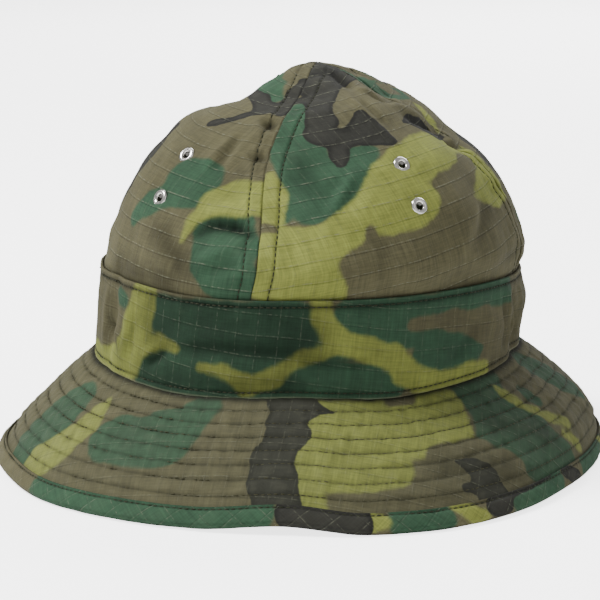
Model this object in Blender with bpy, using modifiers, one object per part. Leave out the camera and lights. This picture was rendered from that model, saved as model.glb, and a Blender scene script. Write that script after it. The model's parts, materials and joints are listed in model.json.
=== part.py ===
"""Bush hat: a four-panel cloth crown with a band, a sloping brim with a bound edge, and four eyelets.

Metres, +Z up. The wearer faces -Y and the hat rests on its brim at Z = 0, with the origin under the
middle of its outline. A bearing is an angle in degrees around the crown: 0 is the front, 90 is +X.
"""
import math

import bmesh
import bpy
from mathutils import Vector

# Head and crown
HEAD_HALF_WIDTH = 0.0903
HEAD_HALF_LENGTH = 0.0985
BAND_HEIGHT = 0.0385
CROWN_RISE = 0.0860
BAND_TAPER = 0.0014
VALLEY_DEPTH = 0.0065
LEAN_RIGHT = 0.0030
BAND_LEAN = 0.0015
APEX_SHIFT_BACK = 0.0030
FOLD_DEPTH = 0.0030

# Brim
BRIM_JOIN_HEIGHT = 0.0400
JOIN_SWING = 0.0060
BRIM_REACH_SIDE = 0.0375
BRIM_REACH_FRONT = 0.0445
BRIM_BULGE = 0.0045
EDGE_LIFT = 0.0028
BINDING_WIDTH = 0.0066

# Walls and clearances
CLOTH_WALL = 0.0012
BRIM_WALL = 0.0020
BRIM_EDGE_WALL = 0.0010
BINDING_WALL = 0.0009
FIT_GAP = 0.0003
SEAM_GAP = 0.0005
SEAM_TUCK = 0.0080

# Eyelets
EYELET_FLANGE_RADIUS = 0.00355
EYELET_HOLE_RADIUS = 0.00180
EYELET_BARREL_WALL = 0.00050
EYELET_FLANGE_HEIGHT = 0.00070
EYELET_ROLL_RADIUS = 0.00320

# How finely the cloth is divided
PANEL_COLUMNS = 22
RING_COLUMNS = PANEL_COLUMNS * 4
EYELET_SIDES = 12

PANEL_NAMES = ("crown_front_right", "crown_back_right", "crown_back_left", "crown_front_left")

# One row for each level of the crown, from the band's top edge to the apex. Rise is a share of
# CROWN_RISE, reach a share of the head's own half width and half length, right a share of how far
# the crown leans to +X, and back a share of how far its apex is pushed back.
CROWN_PROFILE = (
    {"rise": 0.000, "reach": 0.985, "right": 0.00, "back": 0.00},
    {"rise": 0.130, "reach": 0.985, "right": 0.90, "back": 0.00},
    {"rise": 0.255, "reach": 0.958, "right": 0.95, "back": 0.00},
    {"rise": 0.375, "reach": 0.914, "right": 0.80, "back": 0.00},
    {"rise": 0.475, "reach": 0.858, "right": 0.65, "back": 0.00},
    {"rise": 0.570, "reach": 0.782, "right": 0.60, "back": 0.05},
    {"rise": 0.660, "reach": 0.686, "right": 0.55, "back": 0.15},
    {"rise": 0.740, "reach": 0.592, "right": 0.55, "back": 0.30},
    {"rise": 0.820, "reach": 0.478, "right": 0.60, "back": 0.50},
    {"rise": 0.890, "reach": 0.355, "right": 0.75, "back": 0.75},
    {"rise": 0.945, "reach": 0.230, "right": 0.95, "back": 0.95},
    {"rise": 0.985, "reach": 0.100, "right": 1.00, "back": 1.00},
    {"rise": 1.000, "reach": 0.000, "right": 1.00, "back": 1.00},
)

# How far the cloth stands out of that profile at each level, as shares of VALLEY_DEPTH: the four
# seams lie in valleys, and the two left panels are pushed in near the top.
SWELL_BEARINGS = {"front": 0, "front_right": 45, "right": 90, "back_right": 135,
                  "back": 180, "back_left": 225, "left": 270, "front_left": 315}
CROWN_SWELL = {
    "front": (0, 0.00, -0.30, -0.80, -1.00, -1.00, -0.95, -0.80, -0.60, -0.80, -0.60, -0.20, 0),
    "front_right": (0, 0.10, 0.05, 0.05, 0.00, 0.00, 0.00, 0.00, 0.00, -0.10, -0.10, 0.00, 0),
    "right": (0, 0.00, -0.15, -0.15, -0.20, -0.25, -0.55, -0.55, -0.45, -0.75, -0.40, -0.10, 0),
    "back_right": (0, 0.25, 0.20, 0.15, 0.10, 0.10, 0.05, 0.05, 0.15, 0.10, 0.00, -0.05, 0),
    "back": (0, 0.00, -0.30, -0.50, -0.60, -0.60, -0.50, -0.50, -0.50, -0.80, -0.50, -0.10, 0),
    "back_left": (0, 0.10, 0.10, 0.10, 0.00, 0.00, 0.00, -0.10, -0.50, -0.80, -0.50, 0.00, 0),
    "left": (0, -0.50, -0.75, -0.80, -0.85, -0.70, -0.45, -0.30, -0.75, -1.35, -0.80, -0.15, 0),
    "front_left": (0, -0.10, -0.20, -0.20, -0.20, -0.15, -0.10, -0.10, -0.40, -0.65, -0.30, 0.00, 0),
}

# One row for each place around the hat. Join is how high the band's lower edge stands above
# BRIM_JOIN_HEIGHT and top the same for its upper edge, as shares of JOIN_SWING. Reach scales the
# brim's reach, lift raises its edge by a share of EDGE_LIFT and bulge crowns it by a share of
# BRIM_BULGE.
BRIM_OUTLINE = (
    {"at": -110, "join": 0.75, "top": 0.40, "reach": 1.04, "lift": 0.0, "bulge": 0.35},
    {"at": -90, "join": 0.75, "top": 0.45, "reach": 1.05, "lift": 0.0, "bulge": 0.35},
    {"at": -69, "join": 0.68, "top": 0.48, "reach": 1.06, "lift": 0.0, "bulge": 0.40},
    {"at": -50, "join": 0.48, "top": 0.45, "reach": 1.04, "lift": 0.0, "bulge": 0.45},
    {"at": -34, "join": 0.28, "top": 0.33, "reach": 1.08, "lift": 0.0, "bulge": 0.50},
    {"at": -18, "join": 0.07, "top": 0.08, "reach": 1.05, "lift": 0.1, "bulge": 0.50},
    {"at": -3, "join": 0.14, "top": 0.03, "reach": 1.02, "lift": 0.2, "bulge": 0.45},
    {"at": 10, "join": 0.32, "top": 0.10, "reach": 1.02, "lift": 1.0, "bulge": 0.45},
    {"at": 22, "join": 0.16, "top": 0.12, "reach": 1.13, "lift": 0.0, "bulge": 0.45},
    {"at": 35, "join": 0.01, "top": 0.12, "reach": 1.18, "lift": 0.0, "bulge": 0.50},
    {"at": 51, "join": 0.25, "top": 0.18, "reach": 1.09, "lift": 0.0, "bulge": 0.75},
    {"at": 67, "join": 0.50, "top": 0.15, "reach": 0.97, "lift": 0.1, "bulge": 1.10},
    {"at": 89, "join": 1.05, "top": 0.00, "reach": 0.91, "lift": 0.0, "bulge": 1.35},
    {"at": 110, "join": 1.10, "top": 0.05, "reach": 0.95, "lift": 0.0, "bulge": 1.25},
    {"at": 140, "join": 0.65, "top": 0.20, "reach": 1.00, "lift": 0.0, "bulge": 0.50},
    {"at": 180, "join": 0.45, "top": 0.25, "reach": 1.00, "lift": 0.0, "bulge": 0.40},
    {"at": 220, "join": 0.60, "top": 0.30, "reach": 1.01, "lift": 0.0, "bulge": 0.40},
)

# Dents are negative and rolls of cloth positive, as shares of FOLD_DEPTH. Level is a share of the
# piece's own height, run is the fold's direction in degrees from level, and length and width are
# shares of the piece's height.
BAND_FOLDS = (
    {"at": -47, "level": 0.50, "run": 78, "length": 0.42, "width": 0.12, "depth": -1.00},
    {"at": -58, "level": 0.62, "run": 80, "length": 0.42, "width": 0.18, "depth": 0.40},
    {"at": -23, "level": 0.50, "run": 48, "length": 0.34, "width": 0.12, "depth": -0.30},
    {"at": 20, "level": 0.36, "run": 4, "length": 0.36, "width": 0.12, "depth": -0.35},
    {"at": 88, "level": 0.22, "run": 70, "length": 0.34, "width": 0.16, "depth": -1.00},
    {"at": 97, "level": 0.62, "run": 90, "length": 0.30, "width": 0.25, "depth": 0.55},
)
CROWN_FOLDS = (
    {"at": 90, "level": 0.69, "run": 50, "length": 0.12, "width": 0.07, "depth": -0.90},
    {"at": 100, "level": 0.06, "run": 4, "length": 0.25, "width": 0.05, "depth": -0.50},
    {"at": -16, "level": 0.29, "run": -20, "length": 0.16, "width": 0.06, "depth": -0.40},
    {"at": -88, "level": 0.09, "run": 4, "length": 0.20, "width": 0.06, "depth": 0.60},
)

# Each eyelet's place on the crown: its bearing and its rise as a share of CROWN_RISE.
EYELETS = (
    {"name": "eyelet_left_upper", "at": -35.0, "rise": 0.62},
    {"name": "eyelet_left_lower", "at": -34.5, "rise": 0.42},
    {"name": "eyelet_right_upper", "at": 42.5, "rise": 0.58},
    {"name": "eyelet_right_lower", "at": 42.5, "rise": 0.40},
)

CLOTH_COLOURS = {
    "crown_front_right": (0.30, 0.31, 0.11),
    "crown_back_right": (0.10, 0.16, 0.09),
    "crown_back_left": (0.16, 0.12, 0.07),
    "crown_front_left": (0.17, 0.14, 0.08),
    "band": (0.06, 0.14, 0.08),
    "brim": (0.22, 0.22, 0.09),
    "brim_binding": (0.05, 0.10, 0.06),
}
NICKEL = (0.72, 0.70, 0.66)

APEX_HEIGHT = BRIM_JOIN_HEIGHT + BAND_HEIGHT + CROWN_RISE
TUCK_SHARE = SEAM_TUCK / BAND_HEIGHT
BINDING_HALF = BRIM_EDGE_WALL / 2 + FIT_GAP
BINDING_OUTER_HALF = BINDING_HALF + BINDING_WALL
EDGE_STAND = BINDING_HALF + FIT_GAP + BINDING_WALL
SMALL_STEP = 0.001


def hermite(table, column, bearing):
    """A smooth value around the hat, through the rows of a table with an "at" column."""
    rows = sorted(table, key=lambda row: row["at"])
    first = rows[0]["at"]
    angle = (bearing - first) % 360 + first
    angles = [row["at"] for row in rows]
    values = [row[column] for row in rows]
    angles = [angles[-1] - 360] + angles + [angles[0] + 360, angles[1] + 360]
    values = [values[-1]] + values + [values[0], values[1]]
    k = max(i for i in range(1, len(rows) + 1) if angles[i] <= angle + 1e-9)
    span = angles[k + 1] - angles[k]
    t = (angle - angles[k]) / span
    slope_a = (values[k + 1] - values[k - 1]) / (angles[k + 1] - angles[k - 1]) * span
    slope_b = (values[k + 2] - values[k]) / (angles[k + 2] - angles[k]) * span
    a = values[k] * (1 + 2 * t) * (1 - t) ** 2 + slope_a * t * (1 - t) ** 2
    return a + values[k + 1] * t * t * (3 - 2 * t) + slope_b * t * t * (t - 1)


def head_radius(bearing):
    """The head's ellipse, outside the band."""
    angle = math.radians(bearing)
    return 1 / math.hypot(math.sin(angle) / HEAD_HALF_WIDTH, math.cos(angle) / HEAD_HALF_LENGTH)


def join_height(bearing):
    return BRIM_JOIN_HEIGHT + JOIN_SWING * hermite(BRIM_OUTLINE, "join", bearing)


def band_top(bearing):
    return BRIM_JOIN_HEIGHT + BAND_HEIGHT + JOIN_SWING * hermite(BRIM_OUTLINE, "top", bearing)


def folds(table, bearing, level, radius, height):
    """How far the listed folds push the cloth out at one place."""
    total = 0
    for fold in table:
        turn = (bearing - fold["at"] + 180) % 360 - 180
        across = math.radians(turn) * radius / height
        up = level - fold["level"]
        run = math.radians(fold["run"])
        along = across * math.cos(run) + up * math.sin(run)
        beside = up * math.cos(run) - across * math.sin(run)
        total += fold["depth"] * math.exp(-(along / fold["length"]) ** 2 - (beside / fold["width"]) ** 2)
    return total * FOLD_DEPTH


def band_outside(bearing, level):
    """Radius and height of the band's outer face at a share of its height."""
    radius = head_radius(bearing) - BAND_TAPER * level
    radius += BAND_LEAN * level * (2 - level) * math.sin(math.radians(bearing))
    radius += folds(BAND_FOLDS, bearing, level, radius, BAND_HEIGHT)
    low = join_height(bearing)
    return radius, low + (band_top(bearing) - low) * level


def swell(bearing, row):
    """The crown's offset from its profile, between the eight bearings of the table."""
    table = [{"at": at, "value": CROWN_SWELL[name][row]} for name, at in SWELL_BEARINGS.items()]
    return VALLEY_DEPTH * hermite(table, "value", bearing)


def profile_normal(row):
    """The profile's outward direction at a level, as radial and upward shares."""
    low = CROWN_PROFILE[max(row - 1, 0)]
    high = CROWN_PROFILE[min(row + 1, len(CROWN_PROFILE) - 1)]
    inward = (low["reach"] - high["reach"]) * HEAD_HALF_WIDTH
    upward = (high["rise"] - low["rise"]) * CROWN_RISE
    length = math.hypot(inward, upward)
    return upward / length, inward / length


def crown_place(bearing, row):
    """A point of the crown's outer face on one level of the profile."""
    level = CROWN_PROFILE[row]
    radial, upward = profile_normal(row)
    rise = level["rise"]
    reach = level["reach"] * head_radius(bearing)
    out = swell(bearing, row) + folds(CROWN_FOLDS, bearing, rise, reach, CROWN_RISE)
    if row == 0:
        reach = band_outside(bearing, 1)[0] - CLOTH_WALL - FIT_GAP
        out = 0
    if row == len(CROWN_PROFILE) - 1:
        out = 0
    low = band_top(bearing)
    angle = math.radians(bearing)
    radius = reach + out * radial
    x = radius * math.sin(angle) + level["right"] * LEAN_RIGHT
    y = -radius * math.cos(angle) + level["back"] * APEX_SHIFT_BACK
    return Vector((x, y, low + (APEX_HEIGHT - low) * rise + out * upward))


def crown_at(bearing, rise):
    """A point of the crown's outer face between two levels, and the face's outward direction."""
    row = max(i for i in range(len(CROWN_PROFILE) - 1) if CROWN_PROFILE[i]["rise"] <= rise)
    low = CROWN_PROFILE[row]["rise"]
    high = CROWN_PROFILE[row + 1]["rise"]
    share = (rise - low) / (high - low)
    point = crown_place(bearing, row).lerp(crown_place(bearing, row + 1), share)
    upward = crown_place(bearing, row + 1) - crown_place(bearing, row)
    around = crown_place(bearing + 2, row) - crown_place(bearing - 2, row)
    return point, around.cross(upward).normalized()


def polar(bearing, radius, height):
    angle = math.radians(bearing)
    return Vector((radius * math.sin(angle), -radius * math.cos(angle), height))


def brim_edge(bearing):
    """Radius and height of the middle of the brim's thin edge."""
    angle = math.radians(bearing)
    reach = BRIM_REACH_SIDE * math.sin(angle) ** 2 + BRIM_REACH_FRONT * math.cos(angle) ** 2
    radius = head_radius(bearing) + reach * hermite(BRIM_OUTLINE, "reach", bearing)
    lift = max(hermite(BRIM_OUTLINE, "lift", bearing), 0) * EDGE_LIFT
    return Vector((radius, EDGE_STAND + lift))


def fullness(share):
    """The crowned profile across the brim, 1 at its middle and fullest a little outside it."""
    return 4 * share * (1 - share) * (0.5 + share)


def brim_middle(bearing, share):
    """Radius and height of the brim's middle surface, from the band at 0 to the edge at 1."""
    radius, height = band_outside(bearing, 0)
    half = BRIM_WALL / 2 * math.sqrt(0.5)
    start = Vector((radius + FIT_GAP - half, height - 2 * FIT_GAP - half))
    end = brim_edge(bearing)
    chord = end - start
    normal = Vector((-chord.y, chord.x)).normalized()
    bulge = BRIM_BULGE * hermite(BRIM_OUTLINE, "bulge", bearing)
    return start + chord * share + normal * bulge * fullness(share)


def brim_normal(bearing, share):
    step = SMALL_STEP
    along = brim_middle(bearing, share + step) - brim_middle(bearing, share - step)
    return Vector((-along.y, along.x)).normalized()


def edge_frame(bearing):
    """The thin edge under the binding: its middle point, its direction outward and its normal."""
    end = brim_edge(bearing)
    length = (end - brim_middle(bearing, 0)).length
    inner = brim_middle(bearing, 1 - (BINDING_WIDTH + FIT_GAP) / length)
    along = (end - inner).normalized()
    return end, along, Vector((-along.y, along.x))


def new_object(name, bm, collection, colour, metallic, roughness):
    mesh = bpy.data.meshes.new(name)
    bm.to_mesh(mesh)
    bm.free()
    piece = bpy.data.objects.new(name, mesh)
    collection.objects.link(piece)
    piece.data.materials.append(new_material(name, colour, metallic, roughness))
    return piece


def new_material(name, colour, metallic, roughness):
    material = bpy.data.materials.new(name)
    material.use_nodes = True
    shader = material.node_tree.nodes["Principled BSDF"]
    shader.inputs["Base Color"].default_value = (*colour, 1)
    shader.inputs["Metallic"].default_value = metallic
    shader.inputs["Roughness"].default_value = roughness
    return material


def place_grid(bm, columns, rows, place):
    """Put each vertex of a fresh grid where its column and row belong."""
    bmesh.ops.create_grid(bm, x_segments=columns, y_segments=rows, size=1)
    for vert in bm.verts:
        column = round((vert.co.x + 1) / 2 * columns)
        row = round((vert.co.y + 1) / 2 * rows)
        vert.co = place(column, row)


def wrapped_ring(name, section, collection):
    """A closed ring: a grid wrapped round the head, with one loop of section points per column."""
    loops = [section(360 / RING_COLUMNS * column) for column in range(RING_COLUMNS)]
    count = len(loops[0])

    def place(column, row):
        radius, height = loops[column % RING_COLUMNS][row % count]
        return polar(360 / RING_COLUMNS * column, radius, height)

    bm = bmesh.new()
    place_grid(bm, RING_COLUMNS, count, place)
    bmesh.ops.remove_doubles(bm, verts=bm.verts, dist=0.00001)
    bmesh.ops.recalc_face_normals(bm, faces=bm.faces)
    return new_object(name, bm, collection, CLOTH_COLOURS[name], 0, 0.9)


def band_section(bearing):
    """The band's section: up its outer face and down its inner one."""
    rows = (0, TUCK_SHARE, 0.50, 1 - TUCK_SHARE, 1)
    outer = [Vector(band_outside(bearing, level)) for level in rows]
    inner = [point - Vector((CLOTH_WALL, 0)) for point in outer]
    return outer + inner[::-1]


def brim_section(bearing):
    """The brim's section: an upstand inside the band, the slope, and a thin edge for the binding."""
    top_radius, top_height = band_outside(bearing, TUCK_SHARE)
    low_radius, low_height = band_outside(bearing, 0)
    inset = CLOTH_WALL + FIT_GAP
    half = BRIM_WALL / 2
    thin = BRIM_EDGE_WALL / 2
    end, along, normal = edge_frame(bearing)
    step = end - along * (BINDING_WIDTH + FIT_GAP)

    def slope(share, side):
        return brim_middle(bearing, share) + brim_normal(bearing, share) * half * side

    upstand_top = Vector((top_radius - inset, top_height))
    corner = Vector((low_radius - inset, low_height - FIT_GAP))
    under = Vector((low_radius - inset - BRIM_WALL, slope(0, -1).y))
    return [
        upstand_top, corner, slope(0, 1), slope(0.3, 1), slope(0.58, 1),
        step + normal * half, step + normal * thin, end + normal * thin,
        end - normal * thin, step - normal * thin, step - normal * half,
        slope(0.42, -1), under, upstand_top - Vector((BRIM_WALL, 0)),
    ]


def binding_section(bearing):
    """The binding's section: a U folded over the thin edge, with a flat foot to rest on."""
    end, along, normal = edge_frame(bearing)
    foot = end.y - EDGE_STAND
    nose = FIT_GAP + BINDING_WALL
    inner_start = end - along * BINDING_WIDTH
    foot_out = end + along * nose * 0.9 - normal * BINDING_OUTER_HALF * 0.5
    foot_in = end - along * FIT_GAP - normal * BINDING_OUTER_HALF
    return [
        inner_start + normal * BINDING_OUTER_HALF,
        end + normal * BINDING_OUTER_HALF,
        end + along * nose,
        Vector((foot_out.x, foot)),
        Vector((foot_in.x, foot)),
        inner_start - normal * BINDING_OUTER_HALF,
        inner_start - normal * BINDING_HALF,
        end + along * FIT_GAP - normal * BINDING_HALF,
        end + along * FIT_GAP + normal * BINDING_HALF,
        inner_start + normal * BINDING_HALF,
    ]


def crown_panel(name, index, collection):
    """One quarter of the crown: an open sheet from its hidden tuck to the apex, given its wall."""
    rows = len(CROWN_PROFILE)
    start = 90 * index
    clear = SEAM_GAP / 2

    def place(column, row):
        bearing = start + 90 * column / PANEL_COLUMNS
        if row == 0:
            radius, height = band_outside(bearing, 1 - TUCK_SHARE)
            point = polar(bearing, radius - CLOTH_WALL - FIT_GAP, height)
        else:
            point = crown_place(bearing, row - 1)
        if column == 0 or row == rows:
            point += polar(start + 90, clear, 0)
        if column == PANEL_COLUMNS or row == rows:
            point += polar(start, clear, 0)
        return point

    bm = bmesh.new()
    place_grid(bm, PANEL_COLUMNS, rows, place)
    bmesh.ops.remove_doubles(bm, verts=bm.verts, dist=0.00001)
    bm.normal_update()
    middle = Vector((0, 0, BRIM_JOIN_HEIGHT))
    if sum((face.calc_center_median() - middle).dot(face.normal) for face in bm.faces) < 0:
        bmesh.ops.reverse_faces(bm, faces=bm.faces)
    panel = new_object(name, bm, collection, CLOTH_COLOURS[name], 0, 0.9)
    wall = panel.modifiers.new("wall", "SOLIDIFY")
    wall.thickness = CLOTH_WALL
    wall.offset = -1
    wall.use_even_offset = True
    return panel


def eyelet_profile():
    """The eyelet's section: its domed flange, its barrel and the roll inside the cloth."""
    barrel = EYELET_HOLE_RADIUS + EYELET_BARREL_WALL
    under = FIT_GAP
    inside = -CLOTH_WALL - FIT_GAP
    middle = (EYELET_FLANGE_RADIUS + EYELET_HOLE_RADIUS) / 2
    return (
        (EYELET_HOLE_RADIUS, under + EYELET_FLANGE_HEIGHT * 0.4),
        (middle, under + EYELET_FLANGE_HEIGHT),
        (EYELET_FLANGE_RADIUS, under + EYELET_FLANGE_HEIGHT * 0.3),
        (EYELET_FLANGE_RADIUS, under),
        (barrel, under),
        (barrel, inside),
        (EYELET_ROLL_RADIUS, inside),
        (barrel, inside - EYELET_FLANGE_HEIGHT),
        (EYELET_HOLE_RADIUS, inside - EYELET_FLANGE_HEIGHT * 0.7),
    )


def turned(name, collection, profile):
    """A closed profile turned round Z."""
    bm = bmesh.new()
    verts = [bm.verts.new((radius, 0, height)) for radius, height in profile]
    for vert, following in zip(verts, verts[1:] + verts[:1]):
        bm.edges.new((vert, following))
    piece = new_object(name, bm, collection, NICKEL, 1, 0.25)
    screw = piece.modifiers.new("turn", "SCREW")
    screw.steps = EYELET_SIDES
    screw.render_steps = EYELET_SIDES
    screw.use_merge_vertices = True
    screw.merge_threshold = 0.00001
    return piece


def seat(piece, point, direction):
    piece.location = point
    piece.rotation_euler = direction.to_track_quat("Z", "Y").to_euler()


def eyelet(row, collection, cutters, panels):
    """An eyelet set through its panel, and the hole that it needs."""
    point, direction = crown_at(row["at"], row["rise"])
    piece = turned(row["name"], collection, eyelet_profile())
    seat(piece, point, direction)
    bpy.ops.mesh.primitive_cylinder_add(
        vertices=EYELET_SIDES, depth=8 * CLOTH_WALL,
        radius=(EYELET_HOLE_RADIUS + EYELET_BARREL_WALL + FIT_GAP) / math.cos(math.pi / EYELET_SIDES))
    cutter = bpy.context.object
    cutter.name = row["name"] + "_hole"
    cutter.hide_render = True
    cutter.display_type = "WIRE"
    for owner in cutter.users_collection:
        owner.objects.unlink(cutter)
    cutters.objects.link(cutter)
    seat(cutter, point, direction)
    panel = panels["crown_front_left" if row["at"] < 0 else "crown_front_right"]
    cut = panel.modifiers.new(cutter.name, "BOOLEAN")
    cut.operation = "DIFFERENCE"
    cut.solver = "EXACT"
    cut.object = cutter
    return [piece, cutter]


def outline_middle():
    """The middle of the whole hat's outline on the floor."""
    points = []
    for column in range(RING_COLUMNS):
        bearing = 360 / RING_COLUMNS * column
        points += [polar(bearing, radius, 0) for radius, height in binding_section(bearing)]
    xs = [point.x for point in points]
    ys = [point.y for point in points]
    return Vector(((min(xs) + max(xs)) / 2, (min(ys) + max(ys)) / 2, 0))


def main():
    for old in list(bpy.data.objects):
        bpy.data.objects.remove(old)
    parts = bpy.data.collections.new("bush_hat")
    cutters = bpy.data.collections.new("cutters")
    bpy.context.scene.collection.children.link(parts)
    bpy.context.scene.collection.children.link(cutters)
    pieces = [
        wrapped_ring("band", band_section, parts),
        wrapped_ring("brim", brim_section, parts),
        wrapped_ring("brim_binding", binding_section, parts),
    ]
    panels = {name: crown_panel(name, index, parts) for index, name in enumerate(PANEL_NAMES)}
    pieces += panels.values()
    for row in EYELETS:
        pieces += eyelet(row, parts, cutters, panels)
    centre = bpy.data.objects.new("hat_centre", None)
    parts.objects.link(centre)
    centre.location = -outline_middle()
    for piece in pieces:
        piece.parent = centre
        piece.data.shade_smooth()


main()
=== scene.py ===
"""Bush hat: the cloth, stitching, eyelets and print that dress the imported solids."""
import json
import math

import bmesh
import bpy
import numpy as np
from mathutils import Matrix, Vector, noise

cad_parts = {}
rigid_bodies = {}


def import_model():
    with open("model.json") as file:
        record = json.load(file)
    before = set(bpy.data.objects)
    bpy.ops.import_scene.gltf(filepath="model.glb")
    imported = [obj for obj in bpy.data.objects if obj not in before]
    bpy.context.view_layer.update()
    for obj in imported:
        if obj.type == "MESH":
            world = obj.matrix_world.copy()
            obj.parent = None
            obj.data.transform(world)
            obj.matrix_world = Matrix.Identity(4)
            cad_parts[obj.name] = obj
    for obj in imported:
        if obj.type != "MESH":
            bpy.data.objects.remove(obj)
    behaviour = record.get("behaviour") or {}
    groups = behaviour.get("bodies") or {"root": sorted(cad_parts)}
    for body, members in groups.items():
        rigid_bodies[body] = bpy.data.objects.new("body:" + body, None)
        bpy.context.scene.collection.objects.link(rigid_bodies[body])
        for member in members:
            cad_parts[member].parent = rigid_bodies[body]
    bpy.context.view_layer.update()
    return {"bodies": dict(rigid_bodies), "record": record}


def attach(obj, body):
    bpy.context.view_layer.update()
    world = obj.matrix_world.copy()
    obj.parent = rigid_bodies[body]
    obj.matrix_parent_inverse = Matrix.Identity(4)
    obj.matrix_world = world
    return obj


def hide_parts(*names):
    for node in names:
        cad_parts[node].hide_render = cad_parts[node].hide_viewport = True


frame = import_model()

bl_info = {
    "name": "Bush Hat Maker",
    "version": (1, 0, 0),
    "blender": (4, 5, 0),
    "location": "3D View > Sidebar > Bush Hat",
    "description": "Sews a printed ripstop bush hat round the packed model, piece by piece",
    "category": "Object",
}

MM = 0.001
HEAD_OPENING = next(m for m in frame["record"]["mounts"] if m["name"] == "head_opening")
AXIS = Vector((HEAD_OPENING["pos_m"][0], HEAD_OPENING["pos_m"][1], 0))
BODY = next(iter(frame["bodies"]))

# The solids' own driving sizes, in metres
HEAD_HALF_WIDTH = 0.0903
HEAD_HALF_LENGTH = 0.0985
BAND_HEIGHT = 0.0385
CROWN_RISE = 0.0860
BAND_TAPER = 0.0014
VALLEY_DEPTH = 0.0065
LEAN_RIGHT = 0.0030
BAND_LEAN = 0.0015
APEX_SHIFT_BACK = 0.0030
FOLD_DEPTH = 0.0030
BRIM_JOIN_HEIGHT = 0.0400
JOIN_SWING = 0.0060
BRIM_REACH_SIDE = 0.0375
BRIM_REACH_FRONT = 0.0445
BRIM_BULGE = 0.0045
EDGE_LIFT = 0.0028
BINDING_WIDTH = 0.0066
BAND_RADIUS = (HEAD_HALF_WIDTH + HEAD_HALF_LENGTH) / 2
CLOTH_WALL = 0.0012
BRIM_WALL = 0.0020
BRIM_EDGE_WALL = 0.0010
BINDING_WALL = 0.0009
FIT_GAP = 0.0003
SEAM_TUCK = 0.0080
APEX_HEIGHT = BRIM_JOIN_HEIGHT + BAND_HEIGHT + CROWN_RISE
TUCK_SHARE = SEAM_TUCK / BAND_HEIGHT
BINDING_HALF = BRIM_EDGE_WALL / 2 + FIT_GAP
BINDING_OUTER_HALF = BINDING_HALF + BINDING_WALL
EDGE_STAND = BINDING_OUTER_HALF + FIT_GAP

# The crown's levels: rise is a share of CROWN_RISE, reach of the head's half sizes, right of
# LEAN_RIGHT and back of APEX_SHIFT_BACK.
CROWN_PROFILE = (
    {"rise": 0.000, "reach": 0.985, "right": 0.00, "back": 0.00},
    {"rise": 0.130, "reach": 0.985, "right": 0.90, "back": 0.00},
    {"rise": 0.255, "reach": 0.958, "right": 0.95, "back": 0.00},
    {"rise": 0.375, "reach": 0.914, "right": 0.80, "back": 0.00},
    {"rise": 0.475, "reach": 0.858, "right": 0.65, "back": 0.00},
    {"rise": 0.570, "reach": 0.782, "right": 0.60, "back": 0.05},
    {"rise": 0.660, "reach": 0.686, "right": 0.55, "back": 0.15},
    {"rise": 0.740, "reach": 0.592, "right": 0.55, "back": 0.30},
    {"rise": 0.820, "reach": 0.478, "right": 0.60, "back": 0.50},
    {"rise": 0.890, "reach": 0.355, "right": 0.75, "back": 0.75},
    {"rise": 0.945, "reach": 0.230, "right": 0.95, "back": 0.95},
    {"rise": 0.985, "reach": 0.100, "right": 1.00, "back": 1.00},
    {"rise": 1.000, "reach": 0.000, "right": 1.00, "back": 1.00},
)

# How far the cloth stands out of the profile at each level, as shares of VALLEY_DEPTH.
CROWN_SWELL = {
    0: (0, 0.00, -0.30, -0.80, -1.00, -1.00, -0.95, -0.80, -0.60, -0.80, -0.60, -0.20, 0),
    45: (0, 0.10, 0.05, 0.05, 0.00, 0.00, 0.00, 0.00, 0.00, -0.10, -0.10, 0.00, 0),
    90: (0, 0.00, -0.15, -0.15, -0.20, -0.25, -0.55, -0.55, -0.45, -0.75, -0.40, -0.10, 0),
    135: (0, 0.25, 0.20, 0.15, 0.10, 0.10, 0.05, 0.05, 0.15, 0.10, 0.00, -0.05, 0),
    180: (0, 0.00, -0.30, -0.50, -0.60, -0.60, -0.50, -0.50, -0.50, -0.80, -0.50, -0.10, 0),
    225: (0, 0.10, 0.10, 0.10, 0.00, 0.00, 0.00, -0.10, -0.50, -0.80, -0.50, 0.00, 0),
    270: (0, -0.50, -0.75, -0.80, -0.85, -0.70, -0.45, -0.30, -0.75, -1.35, -0.80, -0.15, 0),
    315: (0, -0.10, -0.20, -0.20, -0.20, -0.15, -0.10, -0.10, -0.40, -0.65, -0.30, 0.00, 0),
}

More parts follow.
